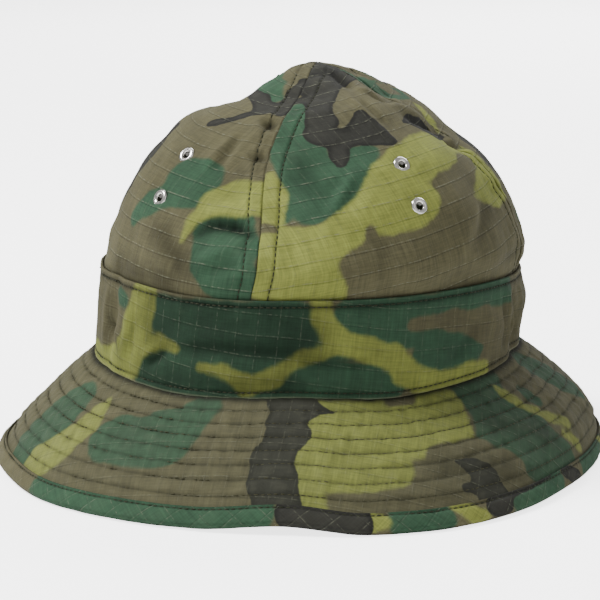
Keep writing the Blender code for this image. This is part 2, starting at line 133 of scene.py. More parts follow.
# Around the hat: join and top are shares of JOIN_SWING, reach scales the brim, lift is a share of
# EDGE_LIFT and bulge of BRIM_BULGE.
BRIM_OUTLINE = (
    {"at": -110, "join": 0.75, "top": 0.40, "reach": 1.04, "lift": 0.0, "bulge": 0.35},
    {"at": -90, "join": 0.75, "top": 0.45, "reach": 1.05, "lift": 0.0, "bulge": 0.35},
    {"at": -69, "join": 0.68, "top": 0.48, "reach": 1.06, "lift": 0.0, "bulge": 0.40},
    {"at": -50, "join": 0.48, "top": 0.45, "reach": 1.04, "lift": 0.0, "bulge": 0.45},
    {"at": -34, "join": 0.28, "top": 0.33, "reach": 1.08, "lift": 0.0, "bulge": 0.50},
    {"at": -18, "join": 0.07, "top": 0.08, "reach": 1.05, "lift": 0.1, "bulge": 0.50},
    {"at": -3, "join": 0.14, "top": 0.03, "reach": 1.02, "lift": 0.2, "bulge": 0.45},
    {"at": 10, "join": 0.32, "top": 0.10, "reach": 1.02, "lift": 1.0, "bulge": 0.45},
    {"at": 22, "join": 0.16, "top": 0.12, "reach": 1.13, "lift": 0.0, "bulge": 0.45},
    {"at": 35, "join": 0.01, "top": 0.12, "reach": 1.18, "lift": 0.0, "bulge": 0.50},
    {"at": 51, "join": 0.25, "top": 0.18, "reach": 1.09, "lift": 0.0, "bulge": 0.75},
    {"at": 67, "join": 0.50, "top": 0.15, "reach": 0.97, "lift": 0.1, "bulge": 1.10},
    {"at": 89, "join": 1.05, "top": 0.00, "reach": 0.91, "lift": 0.0, "bulge": 1.35},
    {"at": 110, "join": 1.10, "top": 0.05, "reach": 0.95, "lift": 0.0, "bulge": 1.25},
    {"at": 140, "join": 0.65, "top": 0.20, "reach": 1.00, "lift": 0.0, "bulge": 0.50},
    {"at": 180, "join": 0.45, "top": 0.25, "reach": 1.00, "lift": 0.0, "bulge": 0.40},
    {"at": 220, "join": 0.60, "top": 0.30, "reach": 1.01, "lift": 0.0, "bulge": 0.40},
)

# Folds of the solids: depth is a share of FOLD_DEPTH, length and width shares of the piece's height.
BAND_FOLDS = (
    {"at": -47, "level": 0.50, "run": 78, "length": 0.42, "width": 0.12, "depth": -1.00},
    {"at": -58, "level": 0.62, "run": 80, "length": 0.42, "width": 0.18, "depth": 0.40},
    {"at": -23, "level": 0.50, "run": 48, "length": 0.34, "width": 0.12, "depth": -0.30},
    {"at": 20, "level": 0.36, "run": 4, "length": 0.36, "width": 0.12, "depth": -0.35},
    {"at": 88, "level": 0.22, "run": 70, "length": 0.34, "width": 0.16, "depth": -1.00},
    {"at": 97, "level": 0.62, "run": 90, "length": 0.30, "width": 0.25, "depth": 0.55},
)
CROWN_FOLDS = (
    {"at": 90, "level": 0.69, "run": 50, "length": 0.12, "width": 0.07, "depth": -0.90},
    {"at": 100, "level": 0.06, "run": 4, "length": 0.25, "width": 0.05, "depth": -0.50},
    {"at": -16, "level": 0.29, "run": -20, "length": 0.16, "width": 0.06, "depth": -0.40},
    {"at": -88, "level": 0.09, "run": 4, "length": 0.20, "width": 0.06, "depth": 0.60},
)

PANELS = ("front_right", "back_right", "back_left", "front_left")
SEAMS = ("front", "right", "back", "left")

# Each eyelet's bearing in degrees and rise as a share of CROWN_RISE.
EYELETS = (
    {"name": "left_upper", "at": -35.0, "rise": 0.62},
    {"name": "left_lower", "at": -34.5, "rise": 0.42},
    {"name": "right_upper", "at": 42.5, "rise": 0.58},
    {"name": "right_lower", "at": 42.5, "rise": 0.40},
)

# Relief that only the cloth has, in metres
SEAM_TOPSTITCH_LEFT = 0.0054
SEAM_TOPSTITCH_RIGHT = 0.0068
SEAM_DITCH = 0.00035
SEAM_STAND = 0.0004
STITCH_DIP = 0.00040
STITCH_DIP_WIDTH = 0.0006
PUCKER_DEPTH = 0.00070
PUCKER_REACH = 0.0065
ROW_PUFF = 0.00055
ROW_SLACK = 0.0006
BAND_STITCH_EDGE = 0.0021
BAND_PUCKER_REACH = 0.0035
BAND_HELD_FROM = 0.002
BAND_HELD_TO = 0.008
BINDING_STITCH_EDGE = 0.0013
BINDING_PUFF = 0.0003
BINDING_RIPPLE = 0.0004
BINDING_SINK = 0.0006
EYELET_DIMPLE = 0.0006
EYELET_DIMPLE_REACH = 0.0042

# Threads, the thinner cloths and the room left between them, in metres
STITCH_PITCH = 0.0025
STITCH_THICK = 0.00030
QUILTING_THICK = 0.00024
SEAM_STITCHES_FROM = 0.0015
SEAM_STITCHES_SHORT = 0.014
PANEL_CLOTH = 0.0008
CROWN_TUCK = 0.006
ALLOWANCE_CLOTH = 0.0005
ALLOWANCE_HALF = SEAM_TOPSTITCH_RIGHT
ALLOWANCE_HEIGHT = 0.125
ALLOWANCE_ROOM = 0.0007
ALLOWANCE_RIDGE = 0.0006
SEAM_CLEAR = 0.00003
FOLD_ROOM = 0.0004

# The eyelets, in metres, and how many sides their rings have
EYELET_HOLE = 0.0015
EYELET_FLANGE = 0.0036
EYELET_DOME = 0.00085
EYELET_SEAT = 0.0001
EYELET_BARREL_WALL = 0.0005
EYELET_OPENING = 0.0024
EYELET_SIDES = 40

# How the cloth is cut. Radii that the flat cloth is laid out with, in metres: the brim is a ring cut
# with a share of the full turn, and its print spreads as it widens.
EDGE_RADIUS = 0.137
ROW_RADIUS = 0.115
BRIM_CUT_RADIUS = 0.127
BRIM_CUT_TURN = 0.74
BRIM_PRINT_RADIUS = 0.095
BRIM_PRINT_SPREAD = 0.72

# The brim laid flat, in its own widths: the upper face runs from 0 to 1, and the lower comes back from
# 1.1 to 2.1, with its print turned by some degrees and taken from elsewhere on the cloth.
BRIM_FLAT_END = 2.1
BRIM_FLAT_FOLD = 1.03
BRIM_UNDER_TURN = 118
BRIM_UNDER_SHIFT = 0.5

# Rows of cloth across the band, its inner face, and the brim's upper and lower faces
BAND_ROWS = 46
BAND_INNER_ROWS = 34
BRIM_UPPER_ROWS = 96
BRIM_LOWER_ROWS = 68
FOLD_STEPS = 6

# How much the divisions crowd toward a panel's seams and the band's edges, from 0 to 1
SEAM_CROWDING = 0.72
EDGE_CROWDING = 0.75

# How far the ripstop's level threads rise to the right on each crown panel and fall on the band, in degrees.
PANEL_GRAIN = (9.5, 4.0, -4.0, -3.0)
BAND_GRAIN = 6.5

# How far the crown's seams sway from straight, in degrees: most at a height in millimetres, and less
# within the spread above and below it. The seams are 0 front, 1 right, 2 back and 3 left.
SEAM_SWAY = (
    {"seam": 0, "sway": -2.4, "up": 67, "spread": 25},
    {"seam": 1, "sway": 1.0, "up": 52, "spread": 28},
    {"seam": 1, "sway": -8.0, "up": 108, "spread": 15},
    {"seam": 2, "sway": 1.6, "up": 62, "spread": 26},
    {"seam": 3, "sway": -1.2, "up": 55, "spread": 28},
)

# Slack that waves the cloth: depth in metres, waves a metre around and up the cloth, how far they lean,
# and the noise's seed.
SLACK = ("depth", "around", "lean", "up", "seed")
CROWN_SLACK = (
    (0.0015, 26, 0, 26, 3.5),
    (0.0010, 75, 0, 60, 2.5),
    (0.00032, 200, 0, 160, 7.5),
)
BAND_SLACK = (
    (0.0008, 30, 0, 40, 12.5),
    (0.00065, 70, 60, 25, 15.5),
    (0.0003, 190, 0, 150, 17.5),
)

# Folds pressed into the cloth, from one place to another: bearings in degrees, heights up the cloth,
# width and depth in millimetres. Depths below zero are grooves, darker by GROOVE_SHADE for each metre.
GROOVE_SHADE = 240
CREASE = ("at", "up", "to_at", "to_up", "width", "depth")
CROWN_CREASES = (
    (-9.5, 86.5, -5.5, 83, 2.6, -2.6),
    (-12, 91, -6, 88, 2.2, 1.0),
    (-14, 82, -7, 77.5, 2.2, 1.2),
    (-7.5, 66.5, -4.6, 64.8, 2.4, -2.4),
    (-10, 70, -5, 69.5, 2.0, 0.9),
    (-9, 61.5, -4.5, 60.5, 2.0, 0.9),
    (-17.5, 74, -20, 57, 2.2, -1.0),
    (-20.5, 73, -24, 57, 2.6, 1.2),
    (-14.5, 70, -16, 58, 2.4, 0.9),
    (39.5, 125, 44, 109, 2.6, -2.2),
    (46, 107, 58, 101, 1.8, 1.0),
    (53, 100, 63, 92, 1.7, -1.3),
    (63, 95.5, 85, 90.5, 1.6, -1.1),
    (60, 91, 82, 86.5, 1.8, 0.9),
    (36.5, 100, 41, 81, 1.6, 1.0),
    (41, 81, 45.5, 68, 1.6, 1.0),
    (40.5, 97, 45.5, 81, 1.8, -0.9),
    (-18.6, 25.7, -13.6, 31.6, 3.0, -1.9),
    (-13.6, 31.6, -7.2, 31.7, 3.0, -2.8),
    (-7.2, 31.7, -2.0, 27.3, 2.6, -2.6),
    (-15, 36.5, -3, 36.5, 2.6, 1.2),
    (-14.2, 16, -5.9, 22, 2.8, 2.2),
    (-13, 10.5, -4.5, 15, 2.6, -1.0),
    (-16, 38, -8, 39, 3.6, 1.2),
    (-26, 22, -19, 10, 3.6, -1.2),
    (-30, 24, -24, 10, 3.4, 1.0),
    (63.9, 82.3, 78.3, 76.7, 2.6, -1.7),
    (78.3, 76.7, 87, 70.5, 2.4, -1.7),
    (66, 88, 80, 82.5, 3.0, 1.2),
    (88, 66, 97, 60, 2.6, -1.5),
    (25.2, 52.5, 18.6, 37.6, 2.2, 1.2),
    (28, 50, 21, 36, 2.6, -0.8),
    (60, 20, 72, 34, 4.5, -1.2),
    (52, 18, 66, 34, 4.5, 1.0),
    (74, 8, 88, 10, 3.2, -1.2),
    (150, 60, 172, 52, 4.0, -1.5),
    (190, 30, 200, 46, 4.2, -1.4),
    (208, 66, 226, 60, 4.0, 1.4),
    (255, 30, 262, 44, 3.6, -1.4),
    (118, 26, 130, 40, 4.5, -1.4),
    (275, 66, 290, 58, 4.0, -1.2),
)
BAND_CREASES = (
    (-52, 8, -50, 30, 3.0, 1.2),
    (-51, 19, -43, 10.5, 2.2, -1.6),
    (-46.5, 18, -40, 9, 2.2, 0.9),
    (-38.5, 9, -37.5, 27, 2.0, 0.8),
    (-35.5, 8, -34.5, 25, 2.0, -0.8),
    (-30, 10.7, -24, 18, 2.0, 1.3),
    (-28.5, 8, -22, 15.5, 2.2, -1.3),
    (-17, 17.2, -4, 18.9, 3.0, -1.3),
    (-4, 18.9, 12, 17.0, 3.0, -1.3),
    (-16, 22.5, 10, 23, 3.2, 0.6),
    (12, 13, 16.4, 14.5, 1.5, -0.9),
    (16.4, 14.5, 27, 14.6, 1.7, -1.4),
    (14, 18, 27, 18.4, 2.4, 0.9),
    (52, 12, 62, 20, 3.4, -0.9),
    (66, 24, 76, 14, 3.4, 1.0),
    (75.5, 28, 76, 5, 1.6, -1.0),
    (79, 28, 79, 6, 1.6, 0.9),
    (83, 27, 81.5, 6, 1.5, -1.2),
    (84, 24, 91, 8, 2.2, -1.6),
    (80, 22, 86, 6, 2.0, 1.1),
    (88, 28, 94, 16, 2.0, 1.0),
    (140, 12, 152, 22, 3.2, -1.2),
    (205, 20, 218, 14, 3.2, -1.2),
    (262, 10, 268, 24, 3.0, -1.2),
)

# The brim's stitched rows, as shares of its width.
BRIM_ROWS = (0.100, 0.218, 0.336, 0.454, 0.572, 0.690, 0.808)

# The print, charted as strokes. A stroke of ink runs from one place to another: bearing in degrees,
# height up the cloth in millimetres, and half its width in millimetres at each end. Each ink lies
# over the ones named before it: green, lime, brown, black. Dark is painted shade, which darkens whatever it
# covers.
STROKE = ("ink", "at", "up", "to_at", "to_up", "half", "to_half")
CROWN_LEFT_PRINT = (
    ("green", -29.5, 49.5, -22.5, 50, 9.5, 9.5),
    ("green", -31, 42, -37, 34, 6.5, 5.5),
    ("green", -37, 34, -43, 26, 5.5, 4),
    ("green", -30, 38.5, -22, 40.5, 4.5, 4.5),
    ("green", -11, 22, -5, 22, 9, 8.5),
    ("green", -9, 9, -4, 8, 9, 9),
    ("green", -15.5, 24, -13, 14, 4.5, 7),
    ("green", -16, 29.5, -6.5, 33, 6, 6),
    ("dark", -48, 4, -24, 4, 3, 5),
    ("dark", -30, 22, -18, 12, 4, 5),
    ("green", -52, 114, -34, 112, 6, 6),
    ("green", -34, 111, -16, 105, 5, 3),
    ("lime", -21.5, 22, -20.3, 30, 1.2, 2.5),
    ("lime", -20, 32, -16, 40, 3, 5.5),
    ("lime", -16, 40, -9, 44, 5.5, 8),
    ("lime", -9, 44, 0, 44.5, 8, 8.5),
    ("black", -36.5, 77, -33, 79.5, 2, 1.8),
    ("black", -33, 80, -24, 86.5, 1.5, 1.8),
    ("black", -24, 86.5, -14, 92, 1.8, 2.5),
    ("black", -16, 96, -6, 95, 5, 4),
    ("black", -52, 104.5, -30, 103, 2.8, 3.2),
    ("black", -30, 102, -16, 97, 3, 5),
    ("black", -6, 98, -3, 112, 3.5, 3.5),
    ("black", -3, 112, -1, 120, 3.5, 3),
    ("black", -5, 93, -2, 104, 3.0, 3.5),
    ("black", -69, 27, -66, 40, 6, 10),
    ("black", -66, 40, -64, 52, 10, 11),
    ("black", -64, 52, -65, 64, 11, 6),
    ("green", -78, 20, -72, 12, 5, 7),
    ("brown", -74, 104, -66, 100, 3, 4),
)
CROWN_RIGHT_PRINT = (
    ("green", 5, 98, 5, 84, 4, 6.5),
    ("green", 4.5, 84, 5, 72, 7, 9),
    ("green", 9, 66, 14, 47, 11, 11),
    ("green", 14, 46, 13, 38, 11, 7),
    ("green", 4, 46, 5, 37, 4.5, 4.5),
    ("green", 20, 54, 28, 56, 9, 8),
    ("green", 28, 63, 33, 66, 6, 4.5),
    ("green", 29, 62, 26, 50, 6, 4.5),
    ("green", 26, 50, 19, 37.5, 5, 3.5),
    ("dark", 9, 64, 13, 50, 3.5, 4),
    ("green", 52, 127, 74, 118, 3, 4.5),
    ("green", 74, 118, 88, 110, 4.5, 5),
    ("lime", 0, 56, 1.5, 44, 2.5, 6),
    ("lime", 1.5, 44, 2, 36, 6.5, 5.5),
    ("lime", 3, 12, 10, 12, 12, 14),
    ("lime", 10, 12, 17, 5, 11, 8),
    ("lime", 4, 23, 16, 23, 8, 7.5),
    ("lime", 16, 24, 28, 35, 7.5, 7.5),
    ("lime", 28, 35, 36, 48, 8, 9),
    ("lime", 34, 35, 39, 36, 8.5, 9.5),
    ("lime", 38, 41, 44, 40, 10, 8.5),
    ("lime", 38, 52, 46, 56, 9, 9.5),
    ("lime", 46, 57, 56, 61, 9, 9.5),
    ("lime", 56, 61, 68, 64, 9.5, 8),
    ("lime", 68, 64, 76, 66, 8, 5),
    ("lime", 74, 64, 84, 62, 5.5, 4),
    ("lime", 84, 62, 92, 58, 4, 3),
    ("lime", 90, 58, 88, 44, 3.5, 6),
    ("lime", 67, 37, 72, 38, 1.5, 3),
    ("lime", 72, 38, 80, 39.5, 4, 8),
    ("lime", 80, 39.5, 88, 41, 8, 8.5),
    ("brown", 28, 21, 27.6, 28.5, 4, 2),
    ("brown", 0.4, 30.5, 3.0, 30, 2.8, 2.2),
    ("black", 3, 104, 12, 106, 3.5, 4),
    ("black", 4, 113, 10, 113, 4.5, 5),
    ("black", 15, 79, 18, 84, 5.5, 6),
    ("black", 16, 86, 17, 100, 5.5, 5.5),
    ("black", 16, 102, 22, 112, 6, 6.5),
    ("black", 4, 122, 30, 119, 5, 6),
    ("black", 30, 119, 54, 119, 5.5, 5),
    ("black", 0, 130, 90, 130, 5, 5),
    ("black", 17, 76, 28, 75, 4.8, 4),
    ("black", 28, 74, 42, 70.5, 4.5, 2.6),
    ("black", 36.6, 88, 40, 78, 1.2, 2.6),
    ("black", 40, 78, 44.2, 69.5, 2.6, 1.8),
    ("black", 34, 80, 39, 73.5, 3.2, 3.2),
    ("black", 36, 86.5, 32.4, 79, 2.2, 3.6),
    ("black", 23, 70, 22.8, 65, 3.4, 3.2),
    ("black", 22.8, 65, 23, 60.5, 3.2, 2.6),
    ("black", 58, 80, 68, 80, 1.2, 3.5),
    ("black", 68, 79, 77, 76, 4, 6),
    ("black", 77, 74, 84, 72, 6, 3),
)
CROWN_BACK_PRINT = (
    ("lime", 97, 73, 101, 78, 1.2, 1.8),
    ("lime", 101, 78, 109, 86, 2, 3),
    ("green", 88, 110, 100, 102, 5, 7),
    ("green", 100, 102, 116, 96, 7, 5),
    ("brown", 92, 92, 98, 88, 3, 3),
    ("lime", 91, 60, 97, 60, 3, 2.5),
    ("lime", 91, 54, 92, 44, 4, 7),
    ("lime", 92, 41, 96, 41, 8, 5),
    ("black", 91, 72, 94, 71, 3, 1.5),
)
BAND_PRINT = (
    ("green", -42, 32, -39, 31, 3.8, 3.6),
    ("green", -28, 8, 20, 5, 9, 9),
    ("green", -24, 26, 10, 26, 12, 12),
    ("green", -24, 8, -8, 8, 10, 8),
    ("green", 16, 6, 34, 7, 7, 7),
    ("green", -30, 5, -24, 5, 6, 6),
    ("green", -29, 12, -23, 14, 4, 4),
    ("green", -6, 14, 6, 16, 8, 8),
    ("green", 24, 32, 76, 30, 8, 8),
    ("green", 44, 14, 60, 14, 9, 7),
    ("green", 20, 24, 40, 28, 9, 9),
    ("green", 94, 2, 100, 3, 3, 4),
    ("lime", -29, 40, -31, 32, 6, 6.5),
    ("lime", -31, 32, -33.5, 20, 7, 8.5),
    ("lime", -33.5, 20, -36, 10, 8.5, 9),
    ("lime", -36, 9, -46, 4, 8, 6),
    ("lime", -46, 3.5, -62, 2.5, 5, 4.5),
    ("lime", -24.5, 19, -19.5, 17.6, 2.6, 2.6),
    ("lime", -30, 14, -24.5, 18.5, 2.4, 2.4),
    ("lime", 16.6, 38, 17, 31, 4, 3.4),
    ("lime", 17, 31, 20.3, 24, 3.4, 4.6),
    ("lime", 20, 22.5, 27, 19.5, 5, 5),
    ("lime", 27, 19.5, 34, 15.5, 5, 4.5),
    ("lime", 34, 15.5, 37, 9.5, 5, 5),
    ("lime", 37, 9.5, 42, 4, 5.5, 4.6),
    ("lime", 42, 5, 48, 3, 4.5, 4),
    ("lime", 50, 2.5, 58, 3, 4, 4.2),
    ("lime", 58, 3, 65, 2, 4.2, 3.5),
    ("lime", 17, 17.5, 12, 15.5, 2.6, 2.6),
    ("lime", 12, 15.5, 5, 8, 2.6, 3.4),
    ("lime", 5, 7, 0, 5, 3.4, 3.8),
    ("lime", -1, 5.5, -6, 10.5, 3.6, 2.6),
    ("lime", -6, 11, -12, 11.5, 2.2, 1.6),
    ("brown", -47, 16, -43, 12.5, 3.5, 2.5),
    ("brown", 39, 28, 52, 26, 2.0, 4),
    ("brown", 52, 26, 64, 21, 4, 6.5),
    ("brown", 64, 21, 74, 14, 7, 10),
    ("brown", 76, 12, 92, 10, 12, 12),
    ("brown", 70, 5, 80, 4, 4.5, 6),
    ("dark", -25, 27, 10, 22, 13, 13),
    ("dark", -28, 6, 10, 6, 8, 5),
    ("dark", -40, 10, -30, 30, 3, 3),
    ("dark", -16, 12, -8, 10.5, 3, 3),
)
BRIM_PRINT = (
    ("green", -47, 15, -47, 20, 5, 11),
    ("green", -47, 20, -47.5, 30, 11.5, 14.5),
    ("green", -48, 30, -49.5, 40, 14.5, 14),
    ("green", -50, 40, -52, 46, 13, 8),
    ("green", -25, 28, -15, 26, 12.5, 12.5),
    ("green", -19, 14, -11, 8, 4, 5.5),
    ("green", -13, 20, -10.5, 9, 10, 7),
    ("green", -9, 1, -8, 4, 5, 4),
    ("green", 57.5, 5, 58, 12, 11, 13),
    ("green", 58, 12, 58, 24, 13, 16),
    ("green", 52, 30, 64, 32, 9, 12),
    ("green", 57, 30, 60, 36, 15, 15),
    ("green", 62, 42, 66, 50, 17, 16),
    ("green", 54, 1, 66, 2, 6, 5),
    ("green", 86, 6, 92, 20, 7, 9),
    ("green", 92, 20, 98, 30, 8, 6),
    ("green", 72, 14, 73, 20, 3, 3),
    ("lime", -35.6, 12, -35.5, 18, 1.5, 3.8),
    ("lime", -35.5, 18, -35.3, 27, 3.8, 6.8),
    ("lime", -35.3, 27, -37.5, 40, 7, 8.8),
    ("lime", -37.5, 40, -42, 50, 8.8, 9.5),
    ("lime", 20, 8, 43, 8, 13, 13),
    ("lime", 18, 22, 42, 20, 12, 12),
    ("lime", 16, 32, 26, 35, 11, 11.5),
    ("lime", 16, 38, 27, 39, 9, 7.5),
    ("lime", 13.5, 44, 14.5, 54, 5, 5),
    ("lime", 64, 8, 65.5, 14, 1.5, 3),
    ("lime", 65.5, 14, 68.5, 22, 2.4, 2.0),
    ("lime", 68.5, 22, 72, 29, 2.0, 2.4),
    ("lime", 72, 29, 77, 34.5, 2.4, 2.8),
    ("lime", 73, 38, 77.5, 46, 1.8, 2.2),
    ("dark", 38, 38, 50, 42, 4, 4),
    ("dark", 54, 22, 66, 34, 4, 5),
    ("brown", 33, 1.5, 37, 1.5, 3.5, 3.5),
    ("brown", 39, 36, 46, 36, 9.5, 9),
    ("brown", 38, 43, 50, 44, 9, 10),
    ("brown", 27, 53, 45, 52, 6.5, 9),
    ("brown", 19.5, 52.5, 30, 52.5, 4.6, 5.5),
    ("black", 9.5, 0, 10.5, 4, 9, 8.5),
    ("black", 13, 5.2, 18.6, 6.6, 4, 0.7),
    ("black", 10.4, 6, 8.8, 13, 8.2, 6.2),
    ("black", 8.8, 13, 9.6, 18.5, 6.2, 7.8),
    ("black", 9.6, 18.5, 8.3, 25, 7.6, 6),
    ("black", 8.3, 25, 7, 31, 6, 7.2),
    ("black", 7, 30, 7.4, 41, 7.2, 8),
    ("black", 7.8, 41, 8.8, 53, 8.2, 8.6),
    ("black", 40.6, 36.5, 43, 39.5, 1.6, 3.5),
    ("black", 43, 39.5, 44.5, 44, 3.5, 5),
    ("black", 44.5, 46, 44.8, 54, 6, 8),
    ("black", 40, 48.5, 43, 49.5, 2, 3.5),
)
BINDING_PRINT = (
    ("green", -31.6, 5, 2.6, 5, 14, 14),
    ("green", 29, 5, 32, 5, 9.5, 9.5),
    ("green", 53, 5, 59, 5, 13, 13),
    ("green", 79, 5, 90, 5, 13, 12),
    ("lime", 23, 5, 24, 5, 5, 4),
    ("lime", 36.5, 1, 40.5, 8, 3, 4),
    ("lime", 91, 0, 96, 5, 1.2, 1.5),
    ("black", 14, 5, 17.5, 5, 13, 13),
    ("black", 44, 5, 45.5, 5, 5, 5),
    ("black", 46, 1.2, 60, 0.6, 2.4, 1.8),
    ("black", 66, 2, 71, 8, 3, 4),
)
INKS = ("green", "lime", "brown", "black", "dark")

# A stroke on the crown bends with it in a few chords. Strokes of one ink melt together over some
# millimetres, and their depth is told as far as the print reaches, in metres.
CHORDS = 5
INK_MELT = 1.2
PRINT_REACH = 0.03

# The print comes again round the back, turned by some degrees.
PANEL_REPEAT = 180
RING_REPEAT = 178
BINDING_REPEAT = 172


# Surfaces: bearings are degrees around the crown, 0 at the front and 90 at +X

def through(at, value, place, slopes):
    """Cubic values through given places, with a slope at each."""
    k = np.clip(np.searchsorted(at, place + 1e-9, side="right") - 1, 0, len(at) - 2)
    span = at[k + 1] - at[k]
    t = (place - at[k]) / span
    start = value[k] * (1 + 2 * t) * (1 - t) ** 2 + slopes[k] * span * t * (1 - t) ** 2
    return start + value[k + 1] * t * t * (3 - 2 * t) + slopes[k + 1] * span * t * t * (t - 1)


def around(at, value, bearing):
    """A smooth value around the hat, from its values at a few bearings."""
    order = np.argsort(at)
    at = np.array(at, float)[order]
    value = np.array(value, float)[order]
    turned = (np.asarray(bearing, float) - at[0]) % 360 + at[0]
    at = np.concatenate(([at[-1] - 360], at, [at[0] + 360, at[1] + 360]))
    value = np.concatenate(([value[-1]], value, value[:2]))
    slopes = np.zeros_like(value)
    slopes[1:-1] = (value[2:] - value[:-2]) / (at[2:] - at[:-2])
    return through(at, value, turned.ravel(), slopes).reshape(turned.shape)


def outline(column, bearing):
    return around([row["at"] for row in BRIM_OUTLINE], [row[column] for row in BRIM_OUTLINE], bearing)


def head_radius(bearing):
    angle = np.radians(bearing)
    return 1 / np.hypot(np.sin(angle) / HEAD_HALF_WIDTH, np.cos(angle) / HEAD_HALF_LENGTH)


def join_height(bearing):
    return BRIM_JOIN_HEIGHT + JOIN_SWING * outline("join", bearing)


def band_top(bearing):
    return BRIM_JOIN_HEIGHT + BAND_HEIGHT + JOIN_SWING * outline("top", bearing)


def folds(rows, bearing, level, radius, height):
    total = 0
    for fold in rows:
        turn = (bearing - fold["at"] + 180) % 360 - 180
        across = np.radians(turn) * radius / height
        up = level - fold["level"]
        run = math.radians(fold["run"])
        along = across * math.cos(run) + up * math.sin(run)
        beside = up * math.cos(run) - across * math.sin(run)
        total = total + fold["depth"] * np.exp(-(along / fold["length"]) ** 2 - (beside / fold["width"]) ** 2)
    return total * FOLD_DEPTH


def band_outside(bearing, level):
    """Radius and height of the band's outer face at a share of its height."""
    radius = head_radius(bearing) - BAND_TAPER * level
    radius = radius + BAND_LEAN * level * (2 - level) * np.sin(np.radians(bearing))
    radius = radius + folds(BAND_FOLDS, bearing, level, radius, BAND_HEIGHT)
    low = join_height(bearing)
    return radius, low + (band_top(bearing) - low) * level


def polar(bearing, radius, height):
    """Points of the hat from bearings, radii and heights, in the frame."""
    angle = np.radians(bearing)
    x = radius * np.sin(angle) + AXIS.x
    y = -radius * np.cos(angle) + AXIS.y
    return np.stack(np.broadcast_arrays(x, y, height), axis=-1)


def crown_level(bearing, row):
    """Points of the crown on one level of the profile, and their radii before the crown leans."""
    level = CROWN_PROFILE[row]
    below = CROWN_PROFILE[max(row - 1, 0)]
    above = CROWN_PROFILE[min(row + 1, len(CROWN_PROFILE) - 1)]
    inward = (below["reach"] - above["reach"]) * HEAD_HALF_WIDTH
    upward = (above["rise"] - below["rise"]) * CROWN_RISE
    length = math.hypot(inward, upward)
    low = band_top(bearing)
    if row == 0:
        reach = band_outside(bearing, 1)[0] - CLOTH_WALL - FIT_GAP
        return polar(bearing, reach, low), reach
    reach = level["reach"] * head_radius(bearing)
    if row == len(CROWN_PROFILE) - 1:
        out = 0 * reach
    else:
        out = VALLEY_DEPTH * around(list(CROWN_SWELL), [rows[row] for rows in CROWN_SWELL.values()], bearing)
        out = out + folds(CROWN_FOLDS, bearing, level["rise"], reach, CROWN_RISE)
    radius = reach + out * upward / length
    points = polar(bearing, radius, low + (APEX_HEIGHT - low) * level["rise"] + out * inward / length)
    points[..., 0] += level["right"] * LEAN_RIGHT
    points[..., 1] += level["back"] * APEX_SHIFT_BACK
    return points, radius


def crown_lines(bearing):
    """The crown's profile points at each bearing, from its hidden tuck to the apex."""
    tuck_radius, tuck_height = band_outside(bearing, 1 - TUCK_SHARE)
    radius = tuck_radius - CLOTH_WALL - FIT_GAP
    levels = [(polar(bearing, radius, tuck_height), radius)]
    levels += [crown_level(bearing, row) for row in range(len(CROWN_PROFILE))]
    points = np.stack([level[0] for level in levels], axis=-2)
    radii = np.stack([level[1] for level in levels], axis=-1)
    step = np.linalg.norm(np.diff(points, axis=-2), axis=-1)
    lengths = np.cumsum(step, axis=-1)
    lengths = np.concatenate((0 * lengths[..., :1], lengths), axis=-1)
    return points, radii, lengths - lengths[..., 1:2]


def crown_points(bearing, up):
    """Places on the crown at bearings and distances above the band, and their radii."""
    bearing, up = np.broadcast_arrays(bearing, up)
    points, radii, lengths = crown_lines(bearing)
    span = np.diff(lengths, axis=-1)[..., None]
    slant = np.diff(points, axis=-2) / span
    inner = (slant[..., :-1, :] * span[..., 1:, :] + slant[..., 1:, :] * span[..., :-1, :])
    inner = inner / (span[..., 1:, :] + span[..., :-1, :])
    slopes = np.concatenate((slant[..., :1, :], inner, slant[..., -1:, :]), axis=-2)
    below = np.clip((lengths <= up[..., None]).sum(axis=-1) - 1, 0, lengths.shape[-1] - 2)
    row = below[..., None, None]

    def picked(values, row):
        return np.take_along_axis(values, row, axis=-2)[..., 0, :]

    gap = picked(span, row)
    t = (up[..., None] - picked(lengths[..., None], row)) / gap
    places = picked(points, row) * (1 + 2 * t) * (1 - t) ** 2 + picked(slopes, row) * gap * t * (1 - t) ** 2
    places = places + picked(points, row + 1) * t * t * (3 - 2 * t)
    places = places + picked(slopes, row + 1) * gap * t * t * (t - 1)
    share = np.clip(t, 0, 1)
    radius = picked(radii[..., None], row) * (1 - share) + picked(radii[..., None], row + 1) * share
    return places, radius[..., 0]


def seam_at(seam, up):
    """Bearing of a crown seam at a distance above the band: slack cloth lets it sway."""
    rows = [row for row in SEAM_SWAY if row["seam"] == seam % 4]
    return 90.0 * seam + sum(row["sway"] * hump(up / MM - row["up"], row["spread"]) for row in rows)


def unit(vectors):
    length = np.linalg.norm(vectors, axis=-1, keepdims=True)
    return vectors / np.maximum(length, 1e-9)


def wander(u, v, seed):
    """Smooth noise from -1 to 1 over two arrays of numbers."""
    flat_u = np.ravel(np.broadcast_to(u, np.broadcast(u, v).shape))
    flat_v = np.ravel(np.broadcast_to(v, np.broadcast(u, v).shape))
    found = [noise.noise(Vector((a, b, seed))) for a, b in zip(flat_u.tolist(), flat_v.tolist())]
    return np.reshape(found, np.broadcast(u, v).shape)


def hump(x, width):
    return np.exp(-(x / width) ** 2)


def fade(x, low, high):
    """0 below low, 1 above high, and smooth between them."""
    t = np.clip((x - low) / (high - low), 0, 1)
    return t * t * (3 - 2 * t)


